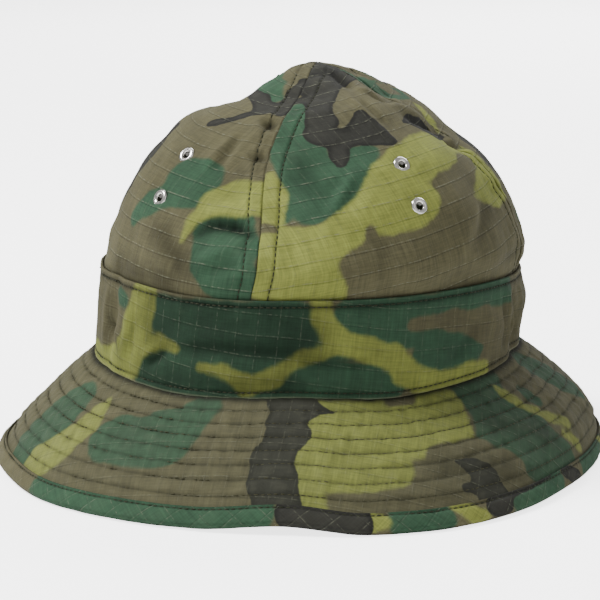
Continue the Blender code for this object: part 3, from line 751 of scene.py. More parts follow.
def from_flat(row, bearing, up, radius):
    """Distance of places from a stroke on cloth laid flat, and how far along it they lie."""
    x = np.radians((bearing - row["at"] + 180) % 360 - 180) * radius
    y = up - row["up"] * MM
    end_x = math.radians(row["to_at"] - row["at"]) * radius
    end_y = (row["to_up"] - row["up"]) * MM
    share = np.clip((x * end_x + y * end_y) / (end_x ** 2 + end_y ** 2 + 1e-12), 0, 1)
    return np.hypot(x - end_x * share, y - end_y * share), share


def creased(rows, bearing, up, radius):
    """How far the folds pressed into the cloth push it out, in metres."""
    total = 0
    for values in rows:
        row = dict(zip(CREASE, values))
        away, share = from_flat(row, bearing, up, radius)
        along = 1 - 0.5 * np.abs(2 * share - 1) ** 3
        total = total + row["depth"] * MM * hump(away, row["width"] * MM) * along
    return total


def slackness(rows, across, up):
    """How far slack waves the cloth in and out, in metres."""
    total = 0
    for values in rows:
        row = dict(zip(SLACK, values))
        around_it = across * row["around"] + up * row["lean"]
        total = total + row["depth"] * wander(around_it, up * row["up"], row["seed"])
    return total


def crown_relief(bearing, up, radius):
    """How far seams, puckers and slack push the crown's cloth out, and the shade and highlight painted on it.
    """
    bearing = (bearing + 180) % 360 - 180
    seam = np.round(bearing / 90)
    sway = np.select([seam % 4 == k for k in range(4)], [seam_at(k, up) - 90.0 * k for k in range(4)])
    turn = bearing - 90.0 * seam - sway
    side = np.sign(turn)
    aside = np.abs(np.radians(turn)) * radius
    stitched = np.where(side > 0, SEAM_TOPSTITCH_RIGHT, SEAM_TOPSTITCH_LEFT)
    past = aside - stitched
    stand = SEAM_STAND * (1 - fade(past, -0.0020, 0.0010)) * (0.6 + 0.4 * side)
    ditch = SEAM_DITCH * hump(aside, 0.0005)
    dip = STITCH_DIP * hump(past, STITCH_DIP_WIDTH)
    own = (seam % 4) * 3.1 + side * 1.7
    ripple = wander(up * 150, own, 1.5) + 0.6 * wander(up * 340, own, 4.5)
    ripple = ripple + 0.7 * wander(up * 170 + aside * 260 * side, own + 9, 6.5)
    strip = hump(aside - stitched * 0.5, stitched * 0.45) * (side > 0)
    puff = wander(up * 135, own + 21, 2.5)
    pucker = PUCKER_DEPTH * (ripple * hump(past, PUCKER_REACH) + 1.3 * puff * strip)
    slack = slackness(CROWN_SLACK, np.radians(bearing) * radius, up)
    slack = slack * fade(aside, 0.002, 0.012) * fade(radius, 0, 0.03)
    creases = creased(CROWN_CREASES, bearing, up, radius)
    out = stand - ditch - dip + pucker * fade(radius, 0, 0.02) + slack + creases
    for row in EYELETS:
        away = np.hypot(np.radians(bearing - row["at"]) * radius, up - eyelet_up(row))
        out = out - EYELET_DIMPLE * hump(away, EYELET_DIMPLE_REACH) * (away < 0.02)
    # Painted shade in the seam's ditch, along the stitching, in the dips beside the seam, in creases and
    # slack, and where the crown goes under the band; painted light and shade on the puckers.
    shade = -0.45 * hump(aside, 0.0004) - 0.30 * hump(past, 0.0005)
    shade = shade + 0.14 * np.minimum(ripple, 0.3) * hump(past, 0.0055)
    shade = shade + 0.35 * np.minimum(puff, 0.0) * strip
    shade = shade + GROOVE_SHADE * np.minimum(creases + 0.5 * slack, 0) - 0.35 * hump(up, 0.0015)
    return out * fade(up, -0.001, 0.005), shade


# How far each eyelet lies up the cloth, kept once it is worked out
EYELET_UP = {}


def eyelet_up(row):
    """How far an eyelet lies above the band, along the cloth."""
    key = row["name"]
    if key not in EYELET_UP:
        bearing = np.array([row["at"]], float)
        lengths = crown_lines(bearing)[2][0]
        rises = [level["rise"] for level in CROWN_PROFILE]
        EYELET_UP[key] = float(np.interp(row["rise"], rises, lengths[1:]))
    return EYELET_UP[key]


def crown_face(bearing, up):
    """Finished places on the crown, their outward directions, radii and shading."""
    places, radius = crown_points(bearing, up)
    beside = crown_points(bearing + 0.25, up)[0] - places
    above = crown_points(bearing, up + 0.0003)[0] - places
    direction = np.where(radius[..., None] < 1e-5, (0, 0, 1), unit(np.cross(beside, above)))
    out, shade = crown_relief(bearing, up, radius)
    return places + direction * out[..., None], direction, radius, shade


def band_relief(bearing, up, height):
    """The band's stitched edges, the puckers along them, its creases, and the shade and highlight painted on
    it.
    """
    low = up - BAND_STITCH_EDGE
    high = height - BAND_STITCH_EDGE - up
    arc = np.radians(bearing) * head_radius(bearing)
    dips = STITCH_DIP * (hump(low, STITCH_DIP_WIDTH) + hump(high, STITCH_DIP_WIDTH))
    ripple = wander(arc * 230, 1.5, 3.5) * hump(low, BAND_PUCKER_REACH)
    ripple = ripple + wander(arc * 230, 6.5, 8.5) * hump(high, BAND_PUCKER_REACH)
    loose_low = fade(up, BAND_HELD_FROM, BAND_HELD_TO)
    loose_high = fade(height - up, BAND_HELD_FROM, BAND_HELD_TO)
    slack = slackness(BAND_SLACK, arc, up) * loose_low
    creases = creased(BAND_CREASES, bearing, up, BAND_RADIUS) * loose_low
    out = PUCKER_DEPTH * 0.7 * ripple + (slack + creases) * loose_high - dips
    # Painted highlight along both folded edges; painted shade under the top edge, above the bottom edge,
    # along the stitching and in creases and slack; painted light and shade on the puckers.
    shade = 0.45 * hump(up, 0.0004) + 0.12 * hump(height - up, 0.0003)
    shade = shade - 0.34 * hump(high, 0.0016) - 0.16 * hump(low, 0.0012)
    shade = shade + GROOVE_SHADE * np.minimum(creases + 0.4 * slack, 0) + 0.10 * np.minimum(ripple, 0.3)
    return out, shade - 0.35 * (hump(low, 0.0005) + hump(high, 0.0005))


def band_face(bearing, up_share):
    """The band's outer face at a share of its height: radius, height, distance up the cloth and shading."""
    radius, z = band_outside(bearing, up_share)
    height = band_top(bearing) - join_height(bearing)
    up = height * up_share
    out, shade = band_relief(bearing, up, height)
    return radius + out, z, up, shade


def brim_edge(bearing):
    """Radius and height of the middle of the brim's thin edge."""
    angle = np.radians(bearing)
    reach = BRIM_REACH_SIDE * np.sin(angle) ** 2 + BRIM_REACH_FRONT * np.cos(angle) ** 2
    radius = head_radius(bearing) + reach * outline("reach", bearing)
    return radius, EDGE_STAND + EDGE_LIFT * np.maximum(outline("lift", bearing), 0)


def brim_middle(bearing, share):
    """Radius and height of the brim's middle surface, from the band at 0 to its edge at 1."""
    radius, height = band_outside(bearing, 0)
    half = BRIM_WALL / 2 * math.sqrt(0.5)
    start_r = radius + FIT_GAP - half
    start_z = height - 2 * FIT_GAP - half
    end_r, end_z = brim_edge(bearing)
    chord_r = end_r - start_r
    chord_z = end_z - start_z
    length = np.hypot(chord_r, chord_z)
    bulge = BRIM_BULGE * outline("bulge", bearing) * 4 * share * (1 - share) * (0.5 + share)
    return (start_r + chord_r * share - chord_z / length * bulge,
            start_z + chord_z * share + chord_r / length * bulge)


def brim_frame(bearing, share):
    """The brim's middle surface at a share of its width, with its outward and upward directions."""
    step = 0.002
    r, z = brim_middle(bearing, share)
    r1, z1 = brim_middle(bearing, share + step)
    length = np.hypot(r1 - r, z1 - z)
    return r, z, (r1 - r) / length, (z1 - z) / length, length / step


def brim_relief(bearing, share, width, seed):
    """The quilted rows: cloth puffed between lines of stitching, with puckers beside them."""
    rows = np.array(BRIM_ROWS)
    pitch = rows[1] - rows[0]
    gap = np.min(np.abs(share[..., None] - rows), axis=-1) / (pitch / 2)
    gap = np.clip(gap, 0, 1)
    puff = 1 - (1 - gap) ** 3
    arc = np.radians(bearing) * ROW_RADIUS
    ripple = wander(arc * 300, share * 14, seed) * (1 - 0.7 * gap)
    slack = wander(arc * 45, share * 3, seed + 3)
    out = ROW_PUFF * (puff - 0.5) + PUCKER_DEPTH * ripple + ROW_SLACK * slack
    # Painted shade along the stitched rows and in the slack's hollows, painted light and shade on the
    # puckers, and a painted shadow next to the band, where the brim runs under it.
    shade = -0.38 * hump(gap, 0.12) - 0.14 * hump(gap, 0.35) + 0.32 * np.minimum(ripple, 0.2)
    return out, shade - 0.95 * hump(share * width, 0.0019) + GROOVE_SHADE * 0.25 * np.minimum(slack, 0) * MM


def brim_face(bearing, share, side=1):
    """Places on the brim's upper face, or its lower where side is -1: radius, height and shading."""
    r, z, out_r, out_z, width = brim_frame(bearing, share)
    relief, shade = brim_relief(bearing, share, width, 5.5 if side > 0 else 25.5)
    covered = fade(share, 1 - 0.0125 / width, 1 - 0.0095 / width)
    half = (BRIM_WALL / 2 + relief) * (1 - covered) + BRIM_EDGE_WALL / 2 * covered
    return r - out_z * half * side, z + out_r * half * side, shade


def edge_frame(bearing):
    """The thin edge under the binding: its middle, its direction outward and its normal."""
    end_r, end_z = brim_edge(bearing)
    width = brim_frame(bearing, 0.88)[4]
    share = 1 - (BINDING_WIDTH + FIT_GAP) / width
    in_r, in_z = brim_middle(bearing, share)
    length = np.hypot(end_r - in_r, end_z - in_z)
    return end_r, end_z, (end_r - in_r) / length, (end_z - in_z) / length


def binding_path():
    """The binding's section over the brim's edge, outward along the brim and up from its middle."""
    fold = BINDING_WALL / 2
    middle = BINDING_HALF + fold
    back = fold - BINDING_WIDTH
    nose = FIT_GAP + BINDING_WALL
    hem = [(back - fold * math.sin(t), middle - fold * math.cos(t)) for t in np.linspace(0, math.pi, 8)]
    face = [(back * (1 - share), BINDING_OUTER_HALF) for share in np.linspace(0, 1, 19)[1:-1]]
    half = hem + face + [(nose * math.cos(t), BINDING_OUTER_HALF * math.sin(t))
                         for t in np.linspace(math.pi / 2, 0, 7)]
    inner = [(FIT_GAP, -BINDING_HALF * 0.9), (FIT_GAP, BINDING_HALF * 0.9)]
    return half + [(along, -normal) for along, normal in half[-2::-1]] + inner + [half[0]]


def binding_relief(along, normal, up, arc):
    """How far the binding swells from one point of its section, all round, and its shading there."""
    line = abs(along + BINDING_WIDTH - BINDING_STITCH_EDGE)
    dip = STITCH_DIP * math.exp(-(line / 0.0008) ** 2)
    puff = BINDING_PUFF * math.sin(math.pi * min(max(-along / BINDING_WIDTH, 0), 1))
    ripple = BINDING_RIPPLE * wander(arc * 130 + up * 90, up * 60, 31.5)
    # Painted shade along the stitching and in the fold at the binding's inner edge, and painted light and
    # shade on its ripples.
    shade = -0.45 * math.exp(-(line / 0.0005) ** 2)
    shade = shade - 0.45 * math.exp(-((along + BINDING_WIDTH) / 0.0004) ** 2)
    shade = shade + 0.10 * np.minimum(ripple / BINDING_RIPPLE, 0.3)
    outside = abs(normal) > BINDING_HALF * 1.05
    return (puff - dip + ripple * min(1, up / 0.003)) * outside, shade * outside


# Printing

def from_crown(row, places):
    """Distance of places from a stroke on the crown's curved cloth, and how far along it they lie."""
    steps = np.linspace(0, 1, CHORDS + 1)
    line = crown_points(row["at"] + (row["to_at"] - row["at"]) * steps,
                        (row["up"] + (row["to_up"] - row["up"]) * steps) * MM)[0]
    away = np.full(places.shape[:-1], 1.0)
    share = np.zeros(places.shape[:-1])
    for k in range(CHORDS):
        ahead = line[k + 1] - line[k]
        offset = places - line[k]
        t = np.clip(offset @ ahead / (ahead @ ahead + 1e-12), 0, 1)
        found = np.linalg.norm(offset - t[..., None] * ahead, axis=-1)
        share = np.where(found < away, (k + t) / CHORDS, share)
        away = np.minimum(found, away)
    return away, share


def ink_field(strokes, ink, from_stroke):
    """How deep inside an ink's shape each place lies, in metres; negative outside it."""
    total = 1e-12
    soft = INK_MELT * MM
    for stroke in strokes:
        row = dict(zip(STROKE, stroke))
        if row["ink"] == ink:
            away, share = from_stroke(row)
            half = (row["half"] + (row["to_half"] - row["half"]) * share) * MM
            total = total + np.exp(np.clip((half - away) / soft, -60, 60))
    return soft * np.log(total)


def print_fields(strokes, bearing, up, from_stroke):
    """The depth of each ink over a piece of cloth, whose strokes are measured by from_stroke."""
    shape = np.broadcast(bearing, up).shape
    fields = {}
    for ink in INKS:
        depth = np.clip(ink_field(strokes, ink, from_stroke), -PRINT_REACH, PRINT_REACH)
        fields[ink] = np.broadcast_to(depth, shape)
    return fields


def turned_print(strokes, turn):
    """The same strokes, turned round the hat by some degrees."""
    return tuple((ink, at + turn, up, to_at + turn, to_up, half, to_half)
                 for ink, at, up, to_at, to_up, half, to_half in strokes)


# Meshes

def cloth_mesh(points, flat, fields):
    """A grid of cloth: each vertex at its place, with its flat position and its inks."""
    rows, columns = points.shape[:2]
    bm = bmesh.new()
    bmesh.ops.create_grid(bm, x_segments=columns - 1, y_segments=rows - 1, size=1)
    uv = bm.loops.layers.uv.new("cloth")
    layers = [(bm.verts.layers.float.new(key), values) for key, values in fields.items()]
    where = {}
    for vert in bm.verts:
        column = round((vert.co.x + 1) / 2 * (columns - 1))
        row = round((vert.co.y + 1) / 2 * (rows - 1))
        where[vert.index] = (row, column)
        vert.co = points[row, column]
        for layer, values in layers:
            vert[layer] = values[row, column]
    for face in bm.faces:
        face.smooth = True
        for loop in face.loops:
            loop[uv].uv = flat[where[loop.vert.index]]
    bmesh.ops.remove_doubles(bm, verts=bm.verts, dist=1e-7)
    return bm


def finish_piece(name, bm, materials, replaced=()):
    mesh = bpy.data.meshes.new(name)
    bm.to_mesh(mesh)
    bm.free()
    piece = bpy.data.objects.new(name, mesh)
    bpy.context.scene.collection.objects.link(piece)
    for material in materials:
        mesh.materials.append(material)
    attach(piece, BODY)
    if replaced:
        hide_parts(*replaced)
    return piece


def add_wall(piece, thickness):
    """Give an open sheet its thickness, inward from the face that shows."""
    wall = piece.modifiers.new("wall", "SOLIDIFY")
    wall.thickness = thickness
    wall.offset = -1
    return wall


def face_outward(bm, middle):
    """Turn an open sheet's faces away from a point inside the hat."""
    bm.normal_update()
    facing = sum((face.calc_center_median() - middle).dot(face.normal) for face in bm.faces)
    if facing < 0:
        bmesh.ops.reverse_faces(bm, faces=bm.faces)


def dense_ends(count, share):
    """Places from 0 to 1, closer together near both ends."""
    t = np.linspace(0, 1, count)
    return t - share * np.sin(2 * np.pi * t) / (2 * np.pi)


def stitch(bm, place, along, out, length, thick):
    """One stitch of thread: a small rounded bead laid along the cloth."""
    along = Vector(along).normalized()
    side = Vector(out).cross(along).normalized()
    up = along.cross(side)
    turn = Matrix((along * length / 2, side * thick, up * thick)).transposed().to_4x4()
    bmesh.ops.create_icosphere(bm, subdivisions=1, radius=1, matrix=Matrix.Translation(place) @ turn)


def stitch_line(bm, places, directions, closed, thick=STITCH_THICK):
    """A row of stitches through places a stitch apart."""
    row = bmesh.new()
    count = len(places)
    for k in range(count):
        following = places[(k + 1) % count] if closed or k + 1 < count else places[k]
        previous = places[k - 1] if closed or k > 0 else places[k]
        stitch(row, Vector(places[k]), following - previous, directions[k],
               STITCH_PITCH * 0.86, thick)
    for face in row.faces:
        face.smooth = True
    mesh = bpy.data.meshes.new("row")
    row.to_mesh(mesh)
    row.free()
    bm.from_mesh(mesh)
    bpy.data.meshes.remove(mesh)


def even_bearings(radius_at):
    """Bearings a stitch apart around a ring whose radius is given at each degree."""
    degrees = np.arange(0, 361.0)
    radius = radius_at(degrees)
    arc = np.concatenate(([0], np.cumsum(np.radians(1) * (radius[1:] + radius[:-1]) / 2)))
    count = int(arc[-1] / STITCH_PITCH)
    return np.interp(np.arange(count) * arc[-1] / count, arc, degrees)


# Materials

def add_node(tree, kind, **values):
    made = tree.nodes.new(kind)
    for key, value in values.items():
        setattr(made, key, value)
    return made


def join(tree, source, target):
    tree.links.new(source, target)


def calculate(tree, operation, first, second=None, third=None):
    """A Math node whose inputs are sockets or numbers."""
    made = add_node(tree, "ShaderNodeMath", operation=operation)
    for k, value in enumerate((first, second, third)):
        if value is None:
            continue
        if isinstance(value, (int, float)):
            made.inputs[k].default_value = value
        else:
            join(tree, value, made.inputs[k])
    return made.outputs[0]


def blend_colour(tree, share, first, second, mode="MIX"):
    """A colour mix whose inputs are sockets, numbers or colours."""
    made = add_node(tree, "ShaderNodeMix", data_type="RGBA", blend_type=mode)
    for name, value in (("Factor_Float", share), ("A_Color", first), ("B_Color", second)):
        socket = next(s for s in made.inputs if s.identifier == name)
        if hasattr(value, "links"):
            join(tree, value, socket)
        else:
            socket.default_value = value
    return next(s for s in made.outputs if s.identifier == "Result_Color")


def add_noise(tree, place, scale, detail=2):
    """A noise texture read at a place; its colour holds three noises that differ."""
    made = add_node(tree, "ShaderNodeTexNoise")
    made.inputs["Scale"].default_value = scale
    made.inputs["Detail"].default_value = detail
    join(tree, place, made.inputs["Vector"])
    return made


def colour_parts(tree, colour):
    made = add_node(tree, "ShaderNodeSeparateColor")
    join(tree, colour, made.inputs[0])
    return made.outputs


def add_bump(tree, shader, height, strength, distance):
    """Fine relief on a shader's surface."""
    bump = add_node(tree, "ShaderNodeBump")
    bump.inputs["Strength"].default_value = strength
    bump.inputs["Distance"].default_value = distance
    join(tree, height, bump.inputs["Height"])
    join(tree, bump.outputs[0], shader.inputs["Normal"])


def new_group(name, inputs, outputs):
    """An empty shader group with named inputs and outputs."""
    group = bpy.data.node_groups.new(name, "ShaderNodeTree")
    for label, kind, value in inputs:
        socket = group.interface.new_socket(label, in_out="INPUT", socket_type=kind)
        socket.default_value = value
    for label, kind in outputs:
        group.interface.new_socket(label, in_out="OUTPUT", socket_type=kind)
    start = add_node(group, "NodeGroupInput")
    end = add_node(group, "NodeGroupOutput")
    return group, start, end


def soft_step(tree, value, width):
    """0 to 1 across a band of the given width round zero."""
    made = add_node(tree, "ShaderNodeMapRange", interpolation_type="SMOOTHSTEP")
    made.inputs["From Min"].default_value = -width
    made.inputs["From Max"].default_value = width
    join(tree, value, made.inputs["Value"])
    return made.outputs["Result"]


# How each ink ends: how far its edge wanders and frays, and how softly it bleeds, in millimetres. Black
# is darkest along a rim just inside its edge, whose width is in metres.
INK_EDGES = {
    "green": {"wander": 1.8, "fray": 0.5, "bleed": 1.0},
    "lime": {"wander": 1.8, "fray": 0.7, "bleed": 1.2},
    "brown": {"wander": 1.8, "fray": 0.6, "bleed": 1.0},
    "black": {"wander": 1.8, "fray": 0.5, "bleed": 0.35},
    "dark": {"wander": 4.0, "fray": 1.0, "bleed": 8.0},
}
BLACK_RIM = 0.0014


def print_group():
    """The printed inks, and the painted shade of the dark ink, from the depths stored on the cloth."""
    colour = "NodeSocketColor"
    group, start, end = new_group("Camouflage print", [
        ("Brown ground", colour, (0, 0, 0, 1)), ("Green ink", colour, (0, 0, 0, 1)),
        ("Lime ink", colour, (0, 0, 0, 1)), ("Black ink", colour, (0, 0, 0, 1)),
        ("Dark dye", "NodeSocketFloat", 0.5),
    ], [("Colour", colour)])
    flat = add_node(group, "ShaderNodeUVMap", uv_map="cloth").outputs[0]
    coarse = colour_parts(group, add_noise(group, flat, 75).outputs["Color"])
    fine = colour_parts(group, add_noise(group, flat, 420, 3).outputs["Color"])
    picture = start.outputs["Brown ground"]
    labels = {"green": "Green ink", "lime": "Lime ink", "brown": "Brown ground", "black": "Black ink"}
    for k, ink in enumerate(INKS):
        swing = add_node(group, "ShaderNodeAttribute", attribute_name=ink).outputs["Fac"]
        edge = INK_EDGES[ink]
        for part, reach in ((coarse[k % 3], edge["wander"]), (fine[(k + 1) % 3], edge["fray"])):
            sway = calculate(group, "SUBTRACT", part, 0.5)
            swing = calculate(group, "MULTIPLY_ADD", sway, reach * 2 * MM, swing)
        mask = soft_step(group, swing, edge["bleed"] * MM)
        # The dark ink is painted shade: where it lies, the colour goes toward black.
        if ink == "dark":
            mask = calculate(group, "MULTIPLY", mask, start.outputs["Dark dye"])
            picture = blend_colour(group, mask, picture, (0.0, 0.0, 0.0, 1))
            continue
        picture = blend_colour(group, mask, picture, start.outputs[labels[ink]])
        if ink == "black":
            inner = soft_step(group, calculate(group, "SUBTRACT", swing, BLACK_RIM), BLACK_RIM * 0.6)
            rim = calculate(group, "MULTIPLY", calculate(group, "SUBTRACT", mask, inner), 0.45)
            picture = blend_colour(group, rim, picture, (0.006, 0.006, 0.006, 1))
    join(group, picture, end.inputs["Colour"])
    return group


def stretched_noise(tree, flat, stretch, detail=2):
    """Noise drawn out along the cloth: how many grains a metre each way."""
    mapping = add_node(tree, "ShaderNodeMapping")
    mapping.inputs["Scale"].default_value = (*stretch, 1)
    join(tree, flat, mapping.inputs["Vector"])
    return calculate(tree, "SUBTRACT", add_noise(tree, mapping.outputs[0], 1, detail).outputs[0], 0.5)


def ripstop_group():
    """Ripstop cloth: a grid of thicker threads, each with its shadow, a fine weave and uneven yarn."""
    number = "NodeSocketFloat"
    group, start, end = new_group("Ripstop weave", [
        ("Grid", number, 0.0083), ("Level line", number, 1.0), ("Upright line", number, 0.30),
        ("Line width", number, 0.00034), ("Thread", number, 0.00055), ("Turn", number, 0.0),
        ("Crumple", number, 6.0),
    ], [("Light", number), ("Dark", number), ("Height", number), ("Yarn", number)])
    flat = add_node(group, "ShaderNodeUVMap", uv_map="cloth").outputs[0]
    turned = add_node(group, "ShaderNodeVectorRotate", rotation_type="Z_AXIS")
    join(group, flat, turned.inputs["Vector"])
    join(group, start.outputs["Turn"], turned.inputs["Angle"])
    drift = colour_parts(group, add_noise(group, turned.outputs[0], 35).outputs["Color"])
    parts = add_node(group, "ShaderNodeSeparateXYZ")
    join(group, turned.outputs[0], parts.inputs[0])
    half = calculate(group, "MULTIPLY", start.outputs["Grid"], 0.5)
    width = start.outputs["Line width"]

    def near_line(place):
        share = calculate(group, "DIVIDE", calculate(group, "PINGPONG", place, half), width)
        return calculate(group, "SUBTRACT", 1.0, calculate(group, "MINIMUM", share, 1.0))

    lines = []
    waves = []
    for k, stretch in enumerate(((40, 520), (520, 40))):
        wobble = calculate(group, "SUBTRACT", drift[k], 0.5)
        along = calculate(group, "MULTIPLY_ADD", wobble, 0.0012, parts.outputs[k])
        broken = stretched_noise(group, turned.outputs[0], stretch)
        broken = calculate(group, "MULTIPLY_ADD", broken, 7.0, 0.55)
        broken = calculate(group, "MAXIMUM", calculate(group, "MINIMUM", broken, 1.6), 0.12)
        lines.append(calculate(group, "MULTIPLY", near_line(along), broken))
        turn = calculate(group, "DIVIDE", along, start.outputs["Thread"])
        waves.append(calculate(group, "SINE", calculate(group, "MULTIPLY", turn, math.tau)))
    upright = calculate(group, "MULTIPLY", lines[0], start.outputs["Upright line"])
    level = calculate(group, "MULTIPLY", lines[1], start.outputs["Level line"])
    light = calculate(group, "MAXIMUM", upright, level)
    crossed = calculate(group, "MULTIPLY", lines[0], lines[1])
    light = calculate(group, "MULTIPLY_ADD", crossed, 0.8, light)
    # Painted shadow: a dark line just beneath each level thread.
    beneath = near_line(calculate(group, "ADD", along, calculate(group, "MULTIPLY", width, 1.6)))
    dark = calculate(group, "MULTIPLY", beneath, start.outputs["Level line"])
    weave = calculate(group, "MULTIPLY", waves[0], waves[1])
    height = calculate(group, "MULTIPLY_ADD", light, 1.4, calculate(group, "MULTIPLY", weave, 0.35))
    crumple = stretched_noise(group, turned.outputs[0], (170, 170), 4)
    height = calculate(group, "MULTIPLY_ADD", crumple, start.outputs["Crumple"], height)
    fine = calculate(group, "ADD", stretched_noise(group, turned.outputs[0], (1500, 110)),
                     stretched_noise(group, turned.outputs[0], (110, 1500)))
    streak = stretched_noise(group, turned.outputs[0], (520, 16))
    mottle = stretched_noise(group, turned.outputs[0], (60, 60), 3)
    yarn = calculate(group, "MULTIPLY_ADD", streak, 0.8, calculate(group, "MULTIPLY_ADD", mottle, 0.8, fine))
    join(group, light, end.inputs["Light"])
    join(group, dark, end.inputs["Dark"])
    join(group, height, end.inputs["Height"])
    join(group, yarn, end.inputs["Yarn"])
    return group


def place_group(tree, group, **values):
    made = add_node(tree, "ShaderNodeGroup", node_tree=group)
    for label, value in values.items():
        made.inputs[label.replace("_", " ")].default_value = value
    return made


def new_material(name, metallic=0.0, roughness=0.9):
    material = bpy.data.materials.new(name)
    material.use_nodes = True
    shader = material.node_tree.nodes["Principled BSDF"]
    shader.inputs["Metallic"].default_value = metallic
    shader.inputs["Roughness"].default_value = roughness
    return material, material.node_tree, shader


def cloth_material(name, groups, turn=0.0, faded=0.0, lines=0.42, upright=0.30, shade_tone=1.0):
    """Printed ripstop: inks, yarn and grid, darkened by painted shade in the stitching, seams and creases,
    and paled by painted highlight on ridges and folded edges, which there also stands for wear.
    """
    inks = bpy.context.scene.bush_hat_cloth
    material, tree, shader = new_material(name, 0.0, 0.88)
    printed = place_group(tree, groups["print"], Brown_ground=(*inks.brown, 1), Green_ink=(*inks.green, 1),
                          Lime_ink=(*inks.lime, 1), Black_ink=(*inks.black, 1), Dark_dye=inks.painted_shade)
    woven = place_group(tree, groups["ripstop"], Grid=inks.grid, Turn=turn, Upright_line=upright)
    shade = add_node(tree, "ShaderNodeAttribute", attribute_name="shade").outputs["Fac"]
    # The weave's dark output, a painted shadow beneath each level thread, darkens the colour; the band's and
    # brim's copies start darker all over, as painted shade.
    gain = calculate(tree, "MULTIPLY_ADD", woven.outputs["Dark"], -0.9 * lines, shade_tone)
    gain = calculate(tree, "MULTIPLY_ADD", woven.outputs["Yarn"], 0.65 * shade_tone, gain)
    # Below zero the shade attribute darkens the colour: painted shade.
    painted_shade_gain = calculate(tree, "ADD", calculate(tree, "MINIMUM", shade, 0.0), 1.0)
    gain = calculate(tree, "MULTIPLY", gain, painted_shade_gain)
    colour = blend_colour(tree, 1.0, printed.outputs["Colour"], gain, "MULTIPLY")
    thin = calculate(tree, "MULTIPLY", woven.outputs["Light"], lines)
    colour = blend_colour(tree, thin, colour, (0.150, 0.155, 0.110, 1))
    # Above zero the shade attribute pales the colour: painted highlight on pucker ridges and along the band's
    # folded edges, where it also stands for wear.
    highlight_and_wear = calculate(tree, "MULTIPLY", calculate(tree, "MAXIMUM", shade, 0.0), 0.55)
    colour = blend_colour(tree, highlight_and_wear, colour, (0.24, 0.24, 0.16, 1))
    if faded:
        colour = blend_colour(tree, faded, colour, (0.14, 0.15, 0.095, 1))
    join(tree, colour, shader.inputs["Base Color"])
    rough = calculate(tree, "MULTIPLY_ADD", woven.outputs["Yarn"], 0.3, 0.86)
    join(tree, rough, shader.inputs["Roughness"])
    add_bump(tree, shader, woven.outputs["Height"], 0.7, 0.00012)
    shader.inputs["Specular IOR Level"].default_value = 0.10
    return material


def thread_material(name, dark, pale):
    """Dull sewing thread with a twist."""
    material, tree, shader = new_material(name, 0.0, 0.8)
    shader.inputs["Specular IOR Level"].default_value = 0.15
    place = add_node(tree, "ShaderNodeTexCoord").outputs["Object"]
    twist = add_noise(tree, place, 1800).outputs[0]
    join(tree, blend_colour(tree, twist, dark, pale), shader.inputs["Base Color"])
    add_bump(tree, shader, twist, 0.3, 0.0001)
    return material


def nickel_material():
    """Bright nickel with fine scratches and slight tarnish."""
    material, tree, shader = new_material("Nickel plate", 1.0, 0.2)
    place = add_node(tree, "ShaderNodeTexCoord").outputs["Object"]
    scratch = add_noise(tree, place, 900, 3).outputs[0]
    colour = blend_colour(tree, scratch, (0.42, 0.41, 0.38, 1), (0.78, 0.76, 0.72, 1))
    join(tree, colour, shader.inputs["Base Color"])
    join(tree, calculate(tree, "MULTIPLY_ADD", scratch, 0.25, 0.08), shader.inputs["Roughness"])
    return material


def made_materials():
    """The shared groups and materials, made once."""
    if "Printed ripstop" in bpy.data.materials:
        return {key: bpy.data.materials[name] for key, name in MATERIAL_NAMES.items()}
    groups = {"print": print_group(), "ripstop": ripstop_group()}
    cloth_material("Printed ripstop", groups)
    # The band's and brim's copies are darker all over: painted shade for those pieces.
    cloth_material("Band ripstop", groups, turn=math.radians(BAND_GRAIN), lines=0.20, upright=0.7, shade_tone=0.82)
    cloth_material("Quilted ripstop", groups, faded=0.07, lines=0.20, upright=0.6, shade_tone=0.79)
    cloth_material("Bias ripstop", groups, turn=math.radians(45), lines=0.24, upright=1.0)
    cloth_material("Ripstop reverse", groups, faded=0.45, lines=0.15)
    thread_material("Sewing thread", (0.013, 0.015, 0.008, 1), (0.030, 0.032, 0.017, 1))
    thread_material("Quilting thread", (0.026, 0.025, 0.012, 1), (0.050, 0.048, 0.024, 1))
    nickel_material()
    return {key: bpy.data.materials[name] for key, name in MATERIAL_NAMES.items()}


MATERIAL_NAMES = {
    "crown": "Printed ripstop",
    "band": "Band ripstop",
    "brim": "Quilted ripstop",
    "binding": "Bias ripstop",
    "reverse": "Ripstop reverse",
    "thread": "Sewing thread",
    "quilting": "Quilting thread",
    "nickel": "Nickel plate",
}


# Pieces

def panel_strokes(index):
    """The print of one crown panel; the two at the back repeat the front ones, turned round."""
    return (CROWN_RIGHT_PRINT,
            turned_print(CROWN_LEFT_PRINT, PANEL_REPEAT) + CROWN_BACK_PRINT,
            turned_print(CROWN_RIGHT_PRINT, PANEL_REPEAT),
            CROWN_LEFT_PRINT)[index]


